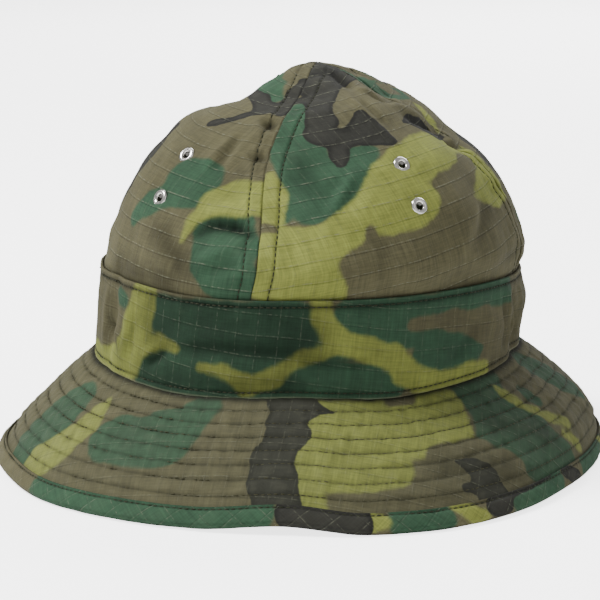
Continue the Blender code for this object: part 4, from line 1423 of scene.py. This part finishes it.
def make_panel(index, materials):
    """One panel of the crown, from seam to seam and from its tuck behind the band to the apex."""
    form = bpy.context.scene.bush_hat_form
    share = dense_ends(form.panel_columns, SEAM_CROWDING)[:, None]
    top = crown_lines(90 * (index + share))[2][..., -1]
    up = -CROWN_TUCK + (top + CROWN_TUCK) * np.linspace(0, 1, form.panel_rows)
    left = seam_at(index, up)
    right = seam_at(index + 1, up)
    bearing = left + (right - left) * share
    top = crown_lines(bearing)[2][..., -1]
    up = np.minimum(up, top)
    up[:, -1] = top[:, -1]
    places, _, radius, shade = crown_face(bearing, up)
    flat = np.stack((np.radians(bearing - 90 * index - 45) * radius, up), axis=-1)
    grain = math.radians(PANEL_GRAIN[index])
    flat = flat @ np.array(((math.cos(grain), -math.sin(grain)), (math.sin(grain), math.cos(grain))))
    fields = print_fields(panel_strokes(index), bearing, up, lambda row: from_crown(row, places))
    fields["shade"] = shade
    aside = polar(np.array([90.0 * index + 90, 90.0 * index]), SEAM_CLEAR, 0) - np.array(AXIS)
    places[0] += aside[0]
    places[-1] += aside[1]
    places[:, -1] += aside[0] + aside[1]
    bm = cloth_mesh(places.transpose(1, 0, 2), flat.transpose(1, 0, 2),
                    {key: value.T for key, value in fields.items()})
    face_outward(bm, Vector((AXIS.x, AXIS.y, BRIM_JOIN_HEIGHT)))
    open_eyelets(bm)
    name = "crown_cloth_" + PANELS[index]
    piece = finish_piece(name, bm, (materials["crown"], materials["reverse"]),
                         ["crown_" + PANELS[index]])
    add_wall(piece, PANEL_CLOTH).material_offset = 1


def eyelet_seat(row):
    """An eyelet's place on the cloth and the cloth's outward direction there."""
    up = eyelet_up(row)
    place = crown_face(np.array([row["at"]]), np.array([up]))[0][0]
    turns = np.array([-1.2, 1.2, 0, 0])
    rises = np.array([0, 0, -0.002, 0.002])
    left, right, low, high = crown_points(row["at"] + turns, up + rises)[0]
    out = Vector(unit(np.cross(right - left, high - low)))
    level = Vector((out.x, out.y, 0)).normalized()
    return Vector(place), out.lerp(level, 0.3).normalized()


def open_eyelets(bm):
    """Cut a round hole in the cloth under each eyelet."""
    for row in EYELETS:
        centre, out = eyelet_seat(row)
        inside = [face for face in bm.faces if (face.calc_center_median() - centre).length < EYELET_OPENING]
        if not inside:
            continue
        bmesh.ops.delete(bm, geom=inside, context="FACES")
        rim = [vert for vert in bm.verts if vert.is_boundary and (vert.co - centre).length < 0.0045]
        for vert in rim:
            away = vert.co - centre
            away -= out * away.dot(out)
            vert.co = vert.co + away * (EYELET_OPENING / max(away.length, 1e-6) - 1)


def eyelet_profile():
    """An eyelet's section as radii and heights: its domed flange, its barrel and the back rolled over."""
    middle = (EYELET_HOLE + EYELET_FLANGE) / 2
    half = (EYELET_FLANGE - EYELET_HOLE) / 2
    dome = [(middle - half * math.cos(math.pi * k / 8), EYELET_SEAT + EYELET_DOME * math.sin(math.pi * k / 8))
            for k in range(9)]
    barrel = EYELET_HOLE + EYELET_BARREL_WALL
    return dome + [(EYELET_FLANGE, -EYELET_SEAT), (barrel, -EYELET_SEAT), (barrel, -0.0012),
                   (0.0032, -0.0013), (0.0031, -0.0018),
                   (EYELET_HOLE + 0.0004, -0.0021), (EYELET_HOLE, -0.0018)]


def eyelet_mesh():
    """An eyelet turned about the Z axis, with its flange up."""
    profile = eyelet_profile()
    bm = bmesh.new()
    rings = [[bm.verts.new((r * math.cos(turn), r * math.sin(turn), z)) for r, z in profile]
             for turn in np.linspace(0, math.tau, EYELET_SIDES, endpoint=False)]
    for ring, following in zip(rings, rings[1:] + rings[:1]):
        for k in range(len(profile)):
            bm.faces.new((ring[k - 1], ring[k], following[k], following[k - 1])).smooth = True
    return bm


def seam_points(seam, side, inside=False):
    """Stitch places along one side of a crown seam, and their outward directions."""
    length = crown_lines(90.0 * seam)[2][-1]
    up = np.arange(SEAM_STITCHES_FROM, length - SEAM_STITCHES_SHORT, STITCH_PITCH)
    middle = seam_at(seam, up)
    radius = crown_points(middle, up)[1]
    aside = SEAM_TOPSTITCH_RIGHT if side > 0 else -SEAM_TOPSTITCH_LEFT
    places, direction = crown_face(middle + np.degrees(aside / radius), up)[:2]
    if inside:
        return places - direction * (PANEL_CLOTH + STITCH_THICK * 0.25), -direction
    return places + direction * STITCH_THICK * 0.25, direction


def seam_allowance(seam):
    """The folded allowance behind a seam: a strip of cloth inside the crown."""
    up = np.linspace(0.001, ALLOWANCE_HEIGHT, 84)[:, None]
    across = np.linspace(-ALLOWANCE_HALF, ALLOWANCE_HALF, 11)
    middle = seam_at(seam, up)
    radius = crown_points(middle, up)[1]
    places, direction = crown_face(middle + np.degrees(across / np.maximum(radius, 0.012)), up)[:2]
    depth = PANEL_CLOTH + ALLOWANCE_ROOM + ALLOWANCE_RIDGE * hump(across, 0.001)
    return places - direction * depth[None, :, None]


def make_allowance(seam, name, materials):
    """A seam's allowance as a thin unprinted strip."""
    grid = seam_allowance(seam)
    flat = np.zeros(grid.shape[:2] + (2,))
    flat[..., 0] = np.linspace(-ALLOWANCE_HALF, ALLOWANCE_HALF, grid.shape[1])[None, :]
    flat[..., 1] = np.linspace(0, ALLOWANCE_HEIGHT - 0.001, grid.shape[0])[:, None]
    fields = {ink: np.full(grid.shape[:2], -PRINT_REACH) for ink in INKS}
    fields["shade"] = np.zeros(grid.shape[:2])
    bm = cloth_mesh(grid, flat, fields)
    face_outward(bm, Vector((AXIS.x, AXIS.y, BRIM_JOIN_HEIGHT)))
    piece = finish_piece("seam_allowance_" + name, bm, [materials["reverse"]])
    add_wall(piece, ALLOWANCE_CLOTH)


def ring_bearings():
    """Bearings of the divisions around the band, brim and binding, which close at the back."""
    return np.linspace(-180, 180, bpy.context.scene.bush_hat_form.ring_columns + 1)


def stacked(loops, bearing):
    """The radius, height, distance along the cloth and shading of a ring of cloth, row by row."""
    return [np.stack([np.broadcast_to(loop[k], bearing.shape) for loop in loops]) for k in range(4)]


def finish_ring(name, places, flat, fields, material, node):
    """A ring of cloth, closed round both its faces, in the place of a solid."""
    bm = cloth_mesh(places, flat, fields)
    bmesh.ops.recalc_face_normals(bm, faces=bm.faces)
    return finish_piece(name, bm, [material], [node])


class HatClothSettings(bpy.types.PropertyGroup):
    """Colours of the inks and scale of the weave."""
    brown: bpy.props.FloatVectorProperty(
        name="Brown", description="Olive brown ground of the print", subtype="COLOR",
        default=(0.075, 0.070, 0.038), min=0, max=1)
    green: bpy.props.FloatVectorProperty(
        name="Green", description="Dark green ink", subtype="COLOR",
        default=(0.028, 0.062, 0.035), min=0, max=1)
    lime: bpy.props.FloatVectorProperty(
        name="Lime", description="Yellow green ink", subtype="COLOR",
        default=(0.160, 0.178, 0.043), min=0, max=1)
    black: bpy.props.FloatVectorProperty(
        name="Black", description="Charcoal ink", subtype="COLOR",
        default=(0.024, 0.024, 0.020), min=0, max=1)
    # How strongly the dark ink lays its painted shade over the print.
    painted_shade: bpy.props.FloatProperty(
        name="Dark dye", description="How much deeper the darkest cloth is dyed", default=0.50, min=0, max=1)
    grid: bpy.props.FloatProperty(
        name="Ripstop grid", description="Spacing of the thicker threads", default=0.0083, unit="LENGTH")


class HatFormSettings(bpy.types.PropertyGroup):
    """How finely the cloth is divided."""
    panel_columns: bpy.props.IntProperty(
        name="Panel columns", description="Divisions of a crown panel from seam to seam", default=150, min=20)
    panel_rows: bpy.props.IntProperty(
        name="Panel rows", description="Divisions of a crown panel from band to apex", default=100, min=20)
    ring_columns: bpy.props.IntProperty(
        name="Ring columns", description="Divisions around the band and brim", default=560, min=80)


# The stage, in metres: the camera looks at a point beside the hat's axis, and the floor lies just under
# the hat. The lamps are square, and take their power from the stage's settings by a share.
LOOK_HEIGHT = 0.063
LOOK_ASIDE = 0.0033
SENSOR_WIDTH_MM = 36
FLOOR_SIZE = 14
FLOOR_DROP = 0.0001
FLOOR_COLOUR = (0.92, 0.92, 0.92, 1)
LAMPS = (
    {"name": "key", "place": (-1.15, -0.45, 1.80), "size": 0.75, "power": "key_power", "share": 1.0},
    {"name": "fill", "place": (1.2, -0.9, 0.7), "size": 1.2, "power": "key_power", "share": 0.03},
    {"name": "backdrop_light", "place": (0.6, 3.6, 2.6), "size": 3.0,
     "power": "backdrop_power", "share": 1.0},
)


class HatStageSettings(bpy.types.PropertyGroup):
    """Camera and light."""
    azimuth: bpy.props.FloatProperty(
        name="Azimuth", description="Camera's bearing from the front", default=math.radians(13.6),
        subtype="ANGLE", unit="ROTATION")
    elevation: bpy.props.FloatProperty(
        name="Elevation", description="Camera's height angle", default=math.radians(10),
        subtype="ANGLE", unit="ROTATION")
    distance: bpy.props.FloatProperty(
        name="Distance", description="Camera to the hat's middle", default=0.950, unit="LENGTH")
    focal_length: bpy.props.FloatProperty(
        name="Focal length", description="Lens of the camera, in millimetres", default=132.9)
    key_power: bpy.props.FloatProperty(
        name="Key light", description="Power of the large light", default=92.0, unit="POWER")
    backdrop_power: bpy.props.FloatProperty(
        name="Backdrop light", description="Power of the light over the floor behind", default=260.0,
        unit="POWER")
    floor_white: bpy.props.FloatProperty(
        name="Floor white", description="How much the pale floor glows to the camera, as a light table does",
        default=2.85, min=0)
    floor_glow: bpy.props.FloatProperty(
        name="Floor glow", description="Share of that glow that lights the hat", default=0.12, min=0, max=1)
    sky: bpy.props.FloatProperty(
        name="Sky", description="Strength of the even light all round", default=0.5, min=0)


class HAT_OT_crown(bpy.types.Operator):
    """Sew the four crown panels, their seam allowances and their topstitching"""
    bl_idname = "bush_hat.crown"
    bl_label = "Crown"

    def execute(self, context):
        materials = made_materials()
        for index in range(len(PANELS)):
            make_panel(index, materials)
        threads = bmesh.new()
        for seam in range(len(SEAMS)):
            for side in (-1, 1):
                for inside in (False, True):
                    places, directions = seam_points(seam, side, inside)
                    stitch_line(threads, places, directions, False)
        finish_piece("crown_topstitching", threads, [materials["thread"]])
        for seam, name in enumerate(SEAMS):
            make_allowance(seam, name, materials)
        return {"FINISHED"}


class HAT_OT_band(bpy.types.Operator):
    """Sew the band with its folded, stitched edges"""
    bl_idname = "bush_hat.band"
    bl_label = "Band"

    def execute(self, context):
        materials = made_materials()
        bearing = ring_bearings()
        half = CLOTH_WALL / 2
        bends = [math.pi * k / FOLD_STEPS for k in range(1, FOLD_STEPS)]
        loops = [band_face(bearing, np.full_like(bearing, share))
                 for share in dense_ends(BAND_ROWS, EDGE_CROWDING)]
        low = loops[0]
        top = loops[-1]
        # The folded edges carry on the painted shade and highlight of the rows next to them, the top one in
        # part.
        for bend in bends:
            loops.append((top[0] - half + half * math.cos(bend), top[1] + half * math.sin(bend) * 0.9,
                          top[2] + half * bend, top[3] * 0.4))
        for share in np.linspace(1, 0, BAND_INNER_ROWS):
            r, z = band_outside(bearing, share)
            pressed = band_face(bearing, np.full_like(bearing, share))[0] + FOLD_ROOM
            loops.append((np.minimum(r, pressed) - CLOTH_WALL, z,
                          top[2] + CLOTH_WALL + (top[2] * (1 - share)), 0 * r))
        for bend in bends:
            loops.append((low[0] - half - half * math.cos(bend), low[1] - half * math.sin(bend) * 0.9,
                          -half * (math.pi - bend), low[3]))
        loops.append(low)
        radius, height, up, shade = stacked(loops, bearing)
        arc = np.radians(bearing)[None, :] * BAND_RADIUS
        flat = np.stack((np.broadcast_to(arc, up.shape), up), axis=-1)
        strokes = BAND_PRINT + turned_print(BAND_PRINT, RING_REPEAT)
        printed_up = np.clip(up, 0, top[2])
        fields = print_fields(strokes, bearing[None, :], printed_up,
                              lambda row: from_flat(row, bearing[None, :], printed_up, BAND_RADIUS))
        fields["shade"] = shade
        finish_ring("band_cloth", polar(bearing[None, :], radius, height), flat, fields,
                    materials["band"], "band")
        threads = bmesh.new()
        spots = even_bearings(head_radius)
        band_height = band_top(spots) - join_height(spots)
        for share in (BAND_STITCH_EDGE / band_height, 1 - BAND_STITCH_EDGE / band_height):
            r, z, up, shade = band_face(spots, share)
            places = polar(spots, r + STITCH_THICK * 0.2, z)
            directions = polar(spots, 1.0, 0) - np.array(AXIS)
            stitch_line(threads, places, directions, True)
        finish_piece("band_topstitching", threads, [materials["thread"]])
        return {"FINISHED"}


class HAT_OT_brim(bpy.types.Operator):
    """Quilt the brim in rows, above and below"""
    bl_idname = "bush_hat.brim"
    bl_label = "Brim"

    def execute(self, context):
        materials = made_materials()
        bearing = ring_bearings()
        inset = CLOTH_WALL + FIT_GAP
        width = brim_frame(bearing, 0.5)[4]
        loops = []
        for level in np.linspace(TUCK_SHARE, 0, 5):
            r, z = band_outside(bearing, level)
            loops.append((r - inset, z - FIT_GAP * (1 - level / TUCK_SHARE), -level * BAND_HEIGHT, 0 * r))
        for share in np.linspace(0, 1, BRIM_UPPER_ROWS):
            r, z, shade = brim_face(bearing, np.full_like(bearing, share))
            loops.append((r, z, share * width, shade))
        for share in np.linspace(1, 0.045, BRIM_LOWER_ROWS):
            r, z, shade = brim_face(bearing, np.full_like(bearing, share), -1)
            loops.append((r, z, (BRIM_FLAT_END - share) * width, shade))
        flat_end = BRIM_FLAT_END * width
        under_z = brim_face(bearing, np.full_like(bearing, 0.02), -1)[1]
        low_r = band_outside(bearing, 0)[0] - inset - BRIM_WALL
        loops.append((low_r, under_z, flat_end, 0 * low_r))
        for level in np.linspace(0.3 * TUCK_SHARE, TUCK_SHARE, 4):
            r, z = band_outside(bearing, level)
            loops.append((r - inset - BRIM_WALL, z, flat_end + level * BAND_HEIGHT, 0 * r))
        loops.append(loops[0])
        radius, height, up, shade = stacked(loops, bearing)
        from_band = np.minimum(up, flat_end - up)
        cut = BRIM_CUT_RADIUS + from_band
        angle = np.radians(bearing)[None, :] * BRIM_CUT_TURN
        across = cut * np.sin(angle) + (up > width) * BRIM_UNDER_SHIFT
        flat = np.stack((across, -cut * np.cos(angle)), axis=-1)
        spread = BRIM_PRINT_RADIUS + BRIM_PRINT_SPREAD * from_band
        under = up > BRIM_FLAT_FOLD * width
        strokes = BRIM_PRINT + turned_print(BRIM_PRINT, RING_REPEAT)
        printed_at = np.where(under, bearing[None, :] + BRIM_UNDER_TURN, bearing[None, :])
        printed_up = np.where(under, flat_end - up, up)
        fields = print_fields(strokes, printed_at, printed_up,
                              lambda row: from_flat(row, printed_at, printed_up, spread))
        fields["shade"] = shade
        finish_ring("brim_cloth", polar(bearing[None, :], radius, height), flat, fields,
                    materials["brim"], "brim")
        for side, name in ((1, "brim_stitching_top"), (-1, "brim_stitching_under")):
            threads = bmesh.new()
            for share in BRIM_ROWS:
                spots = even_bearings(lambda b: brim_middle(b, share)[0])
                r, z, shade = brim_face(spots, np.full_like(spots, share), side)
                out_r, out_z = brim_frame(spots, share)[2:4]
                places = polar(spots, r, z)
                directions = polar(spots, -out_z * side, out_r * side) - np.array(AXIS)
                stitch_line(threads, places, directions, True, QUILTING_THICK)
            finish_piece(name, threads, [materials["quilting"]])
        return {"FINISHED"}


class HAT_OT_binding(bpy.types.Operator):
    """Fold and stitch the bias binding over the brim's edge"""
    bl_idname = "bush_hat.binding"
    bl_label = "Binding"

    def execute(self, context):
        materials = made_materials()
        bearing = ring_bearings()
        end_r, end_z, out_r, out_z = edge_frame(bearing)
        arc = np.radians(bearing) * EDGE_RADIUS
        path = binding_path()
        loops = []
        up = 0.0
        for before, (along, normal) in zip(path[:1] + path, path):
            up += math.dist(before, (along, normal))
            swell, shade = binding_relief(along, normal, up, arc)
            n = normal + np.sign(normal) * swell
            sink = BINDING_SINK * max(0.0, -normal / BINDING_OUTER_HALF) * (1 + along / BINDING_WIDTH)
            height = np.maximum(end_z + out_z * along + out_r * n - sink, end_z - EDGE_STAND)
            loops.append((end_r + out_r * along - out_z * n, height, up, shade))
        radius, height, up, shade = stacked(loops, bearing)
        flat = np.stack((np.broadcast_to(arc, up.shape), up), axis=-1)
        strokes = BINDING_PRINT + turned_print(BINDING_PRINT, BINDING_REPEAT)
        fields = print_fields(strokes, bearing[None, :], up,
                              lambda row: from_flat(row, bearing[None, :], up, EDGE_RADIUS))
        fields["shade"] = shade
        finish_ring("binding_cloth", polar(bearing[None, :], radius, height), flat, fields,
                    materials["binding"], "brim_binding")
        threads = bmesh.new()
        spots = even_bearings(lambda b: brim_edge(b)[0] - BINDING_WIDTH)
        end_r, end_z, out_r, out_z = edge_frame(spots)
        along = BINDING_STITCH_EDGE - BINDING_WIDTH
        for side in (1, -1):
            n = (BINDING_OUTER_HALF - STITCH_DIP * 0.6) * side
            places = polar(spots, end_r + out_r * along - out_z * n,
                           end_z + out_z * along + out_r * n)
            directions = polar(spots, -out_z * side, out_r * side) - np.array(AXIS)
            stitch_line(threads, places, directions, True)
        finish_piece("binding_stitching", threads, [materials["thread"]])
        return {"FINISHED"}


class HAT_OT_eyelets(bpy.types.Operator):
    """Turn the four metal eyelets and set them in the front panels"""
    bl_idname = "bush_hat.eyelets"
    bl_label = "Eyelets"

    def execute(self, context):
        materials = made_materials()
        for row in EYELETS:
            centre, out = eyelet_seat(row)
            bm = eyelet_mesh()
            turn = out.to_track_quat("Z", "Y").to_matrix().to_4x4()
            bmesh.ops.transform(bm, matrix=Matrix.Translation(centre) @ turn, verts=bm.verts)
            finish_piece("metal_eyelet_" + row["name"], bm, [materials["nickel"]],
                         ["eyelet_" + row["name"]])
        return {"FINISHED"}


class HAT_OT_stage(bpy.types.Operator):
    """Set the pale floor, the soft light and the camera"""
    bl_idname = "bush_hat.stage"
    bl_label = "Stage"

    def execute(self, context):
        stage = context.scene.bush_hat_stage
        bm = bmesh.new()
        bmesh.ops.create_grid(bm, x_segments=1, y_segments=1, size=FLOOR_SIZE)
        bmesh.ops.translate(bm, vec=(0, 0, -FLOOR_DROP), verts=bm.verts)
        mesh = bpy.data.meshes.new("floor")
        bm.to_mesh(mesh)
        bm.free()
        floor = bpy.data.objects.new("floor", mesh)
        context.scene.collection.objects.link(floor)
        material, tree, shader = new_material("Pale floor", 0.0, 0.9)
        shader.inputs["Base Color"].default_value = FLOOR_COLOUR
        seen = add_node(tree, "ShaderNodeLightPath").outputs["Is Camera Ray"]
        glow = blend_colour(tree, seen, (*[stage.floor_glow] * 3, 1), (1, 1, 1, 1))
        join(tree, glow, shader.inputs["Emission Color"])
        shader.inputs["Emission Strength"].default_value = stage.floor_white
        mesh.materials.append(material)
        world = context.scene.world or bpy.data.worlds.new("Studio")
        context.scene.world = world
        world.use_nodes = True
        background = world.node_tree.nodes["Background"]
        background.inputs["Color"].default_value = (1, 1, 1, 1)
        background.inputs["Strength"].default_value = stage.sky
        aside = Vector((math.cos(stage.azimuth), math.sin(stage.azimuth), 0))
        target = Vector((AXIS.x, AXIS.y, LOOK_HEIGHT)) - LOOK_ASIDE * aside
        for row in LAMPS:
            light = bpy.data.lights.new(row["name"], "AREA")
            light.size = row["size"]
            light.energy = getattr(stage, row["power"]) * row["share"]
            lamp = bpy.data.objects.new(row["name"], light)
            context.scene.collection.objects.link(lamp)
            lamp.location = row["place"]
            if row["name"] != "backdrop_light":
                lamp.rotation_euler = (target - Vector(row["place"])).to_track_quat("-Z", "Y").to_euler()
        lens = bpy.data.cameras.new("camera")
        lens.lens = stage.focal_length
        lens.sensor_width = SENSOR_WIDTH_MM
        camera = bpy.data.objects.new("camera", lens)
        context.scene.collection.objects.link(camera)
        flat = math.cos(stage.elevation)
        back = Vector((math.sin(stage.azimuth) * flat, -math.cos(stage.azimuth) * flat,
                       math.sin(stage.elevation)))
        camera.location = target + back * stage.distance
        camera.rotation_euler = back.to_track_quat("Z", "Y").to_euler()
        context.scene.camera = camera
        return {"FINISHED"}


class HAT_PT_sidebar(bpy.types.Panel):
    """The hat's pieces, one button for each"""
    bl_label = "Bush Hat"
    bl_idname = "HAT_PT_sidebar"
    bl_space_type = "VIEW_3D"
    bl_region_type = "UI"
    bl_category = "Bush Hat"

    def draw(self, context):
        for settings in ("bush_hat_cloth", "bush_hat_form", "bush_hat_stage"):
            box = self.layout.box()
            group = getattr(context.scene, settings)
            for name in group.__annotations__:
                box.prop(group, name)
        for operator in OPERATORS:
            self.layout.operator(operator.bl_idname)


SETTINGS = {
    "bush_hat_cloth": HatClothSettings,
    "bush_hat_form": HatFormSettings,
    "bush_hat_stage": HatStageSettings,
}
OPERATORS = (HAT_OT_crown, HAT_OT_band, HAT_OT_brim, HAT_OT_binding, HAT_OT_eyelets, HAT_OT_stage)


def register():
    for group in SETTINGS.values():
        bpy.utils.register_class(group)
    for name, group in SETTINGS.items():
        setattr(bpy.types.Scene, name, bpy.props.PointerProperty(type=group))
    for operator in OPERATORS:
        bpy.utils.register_class(operator)
    bpy.utils.register_class(HAT_PT_sidebar)


def unregister():
    bpy.utils.unregister_class(HAT_PT_sidebar)
    for operator in reversed(OPERATORS):
        bpy.utils.unregister_class(operator)
    for name in SETTINGS:
        delattr(bpy.types.Scene, name)
    for group in SETTINGS.values():
        bpy.utils.unregister_class(group)


def main():
    register()
    bpy.ops.bush_hat.crown()
    bpy.ops.bush_hat.band()
    bpy.ops.bush_hat.brim()
    bpy.ops.bush_hat.binding()
    bpy.ops.bush_hat.eyelets()
    bpy.ops.bush_hat.stage()


if __name__ == "__main__":
    main()
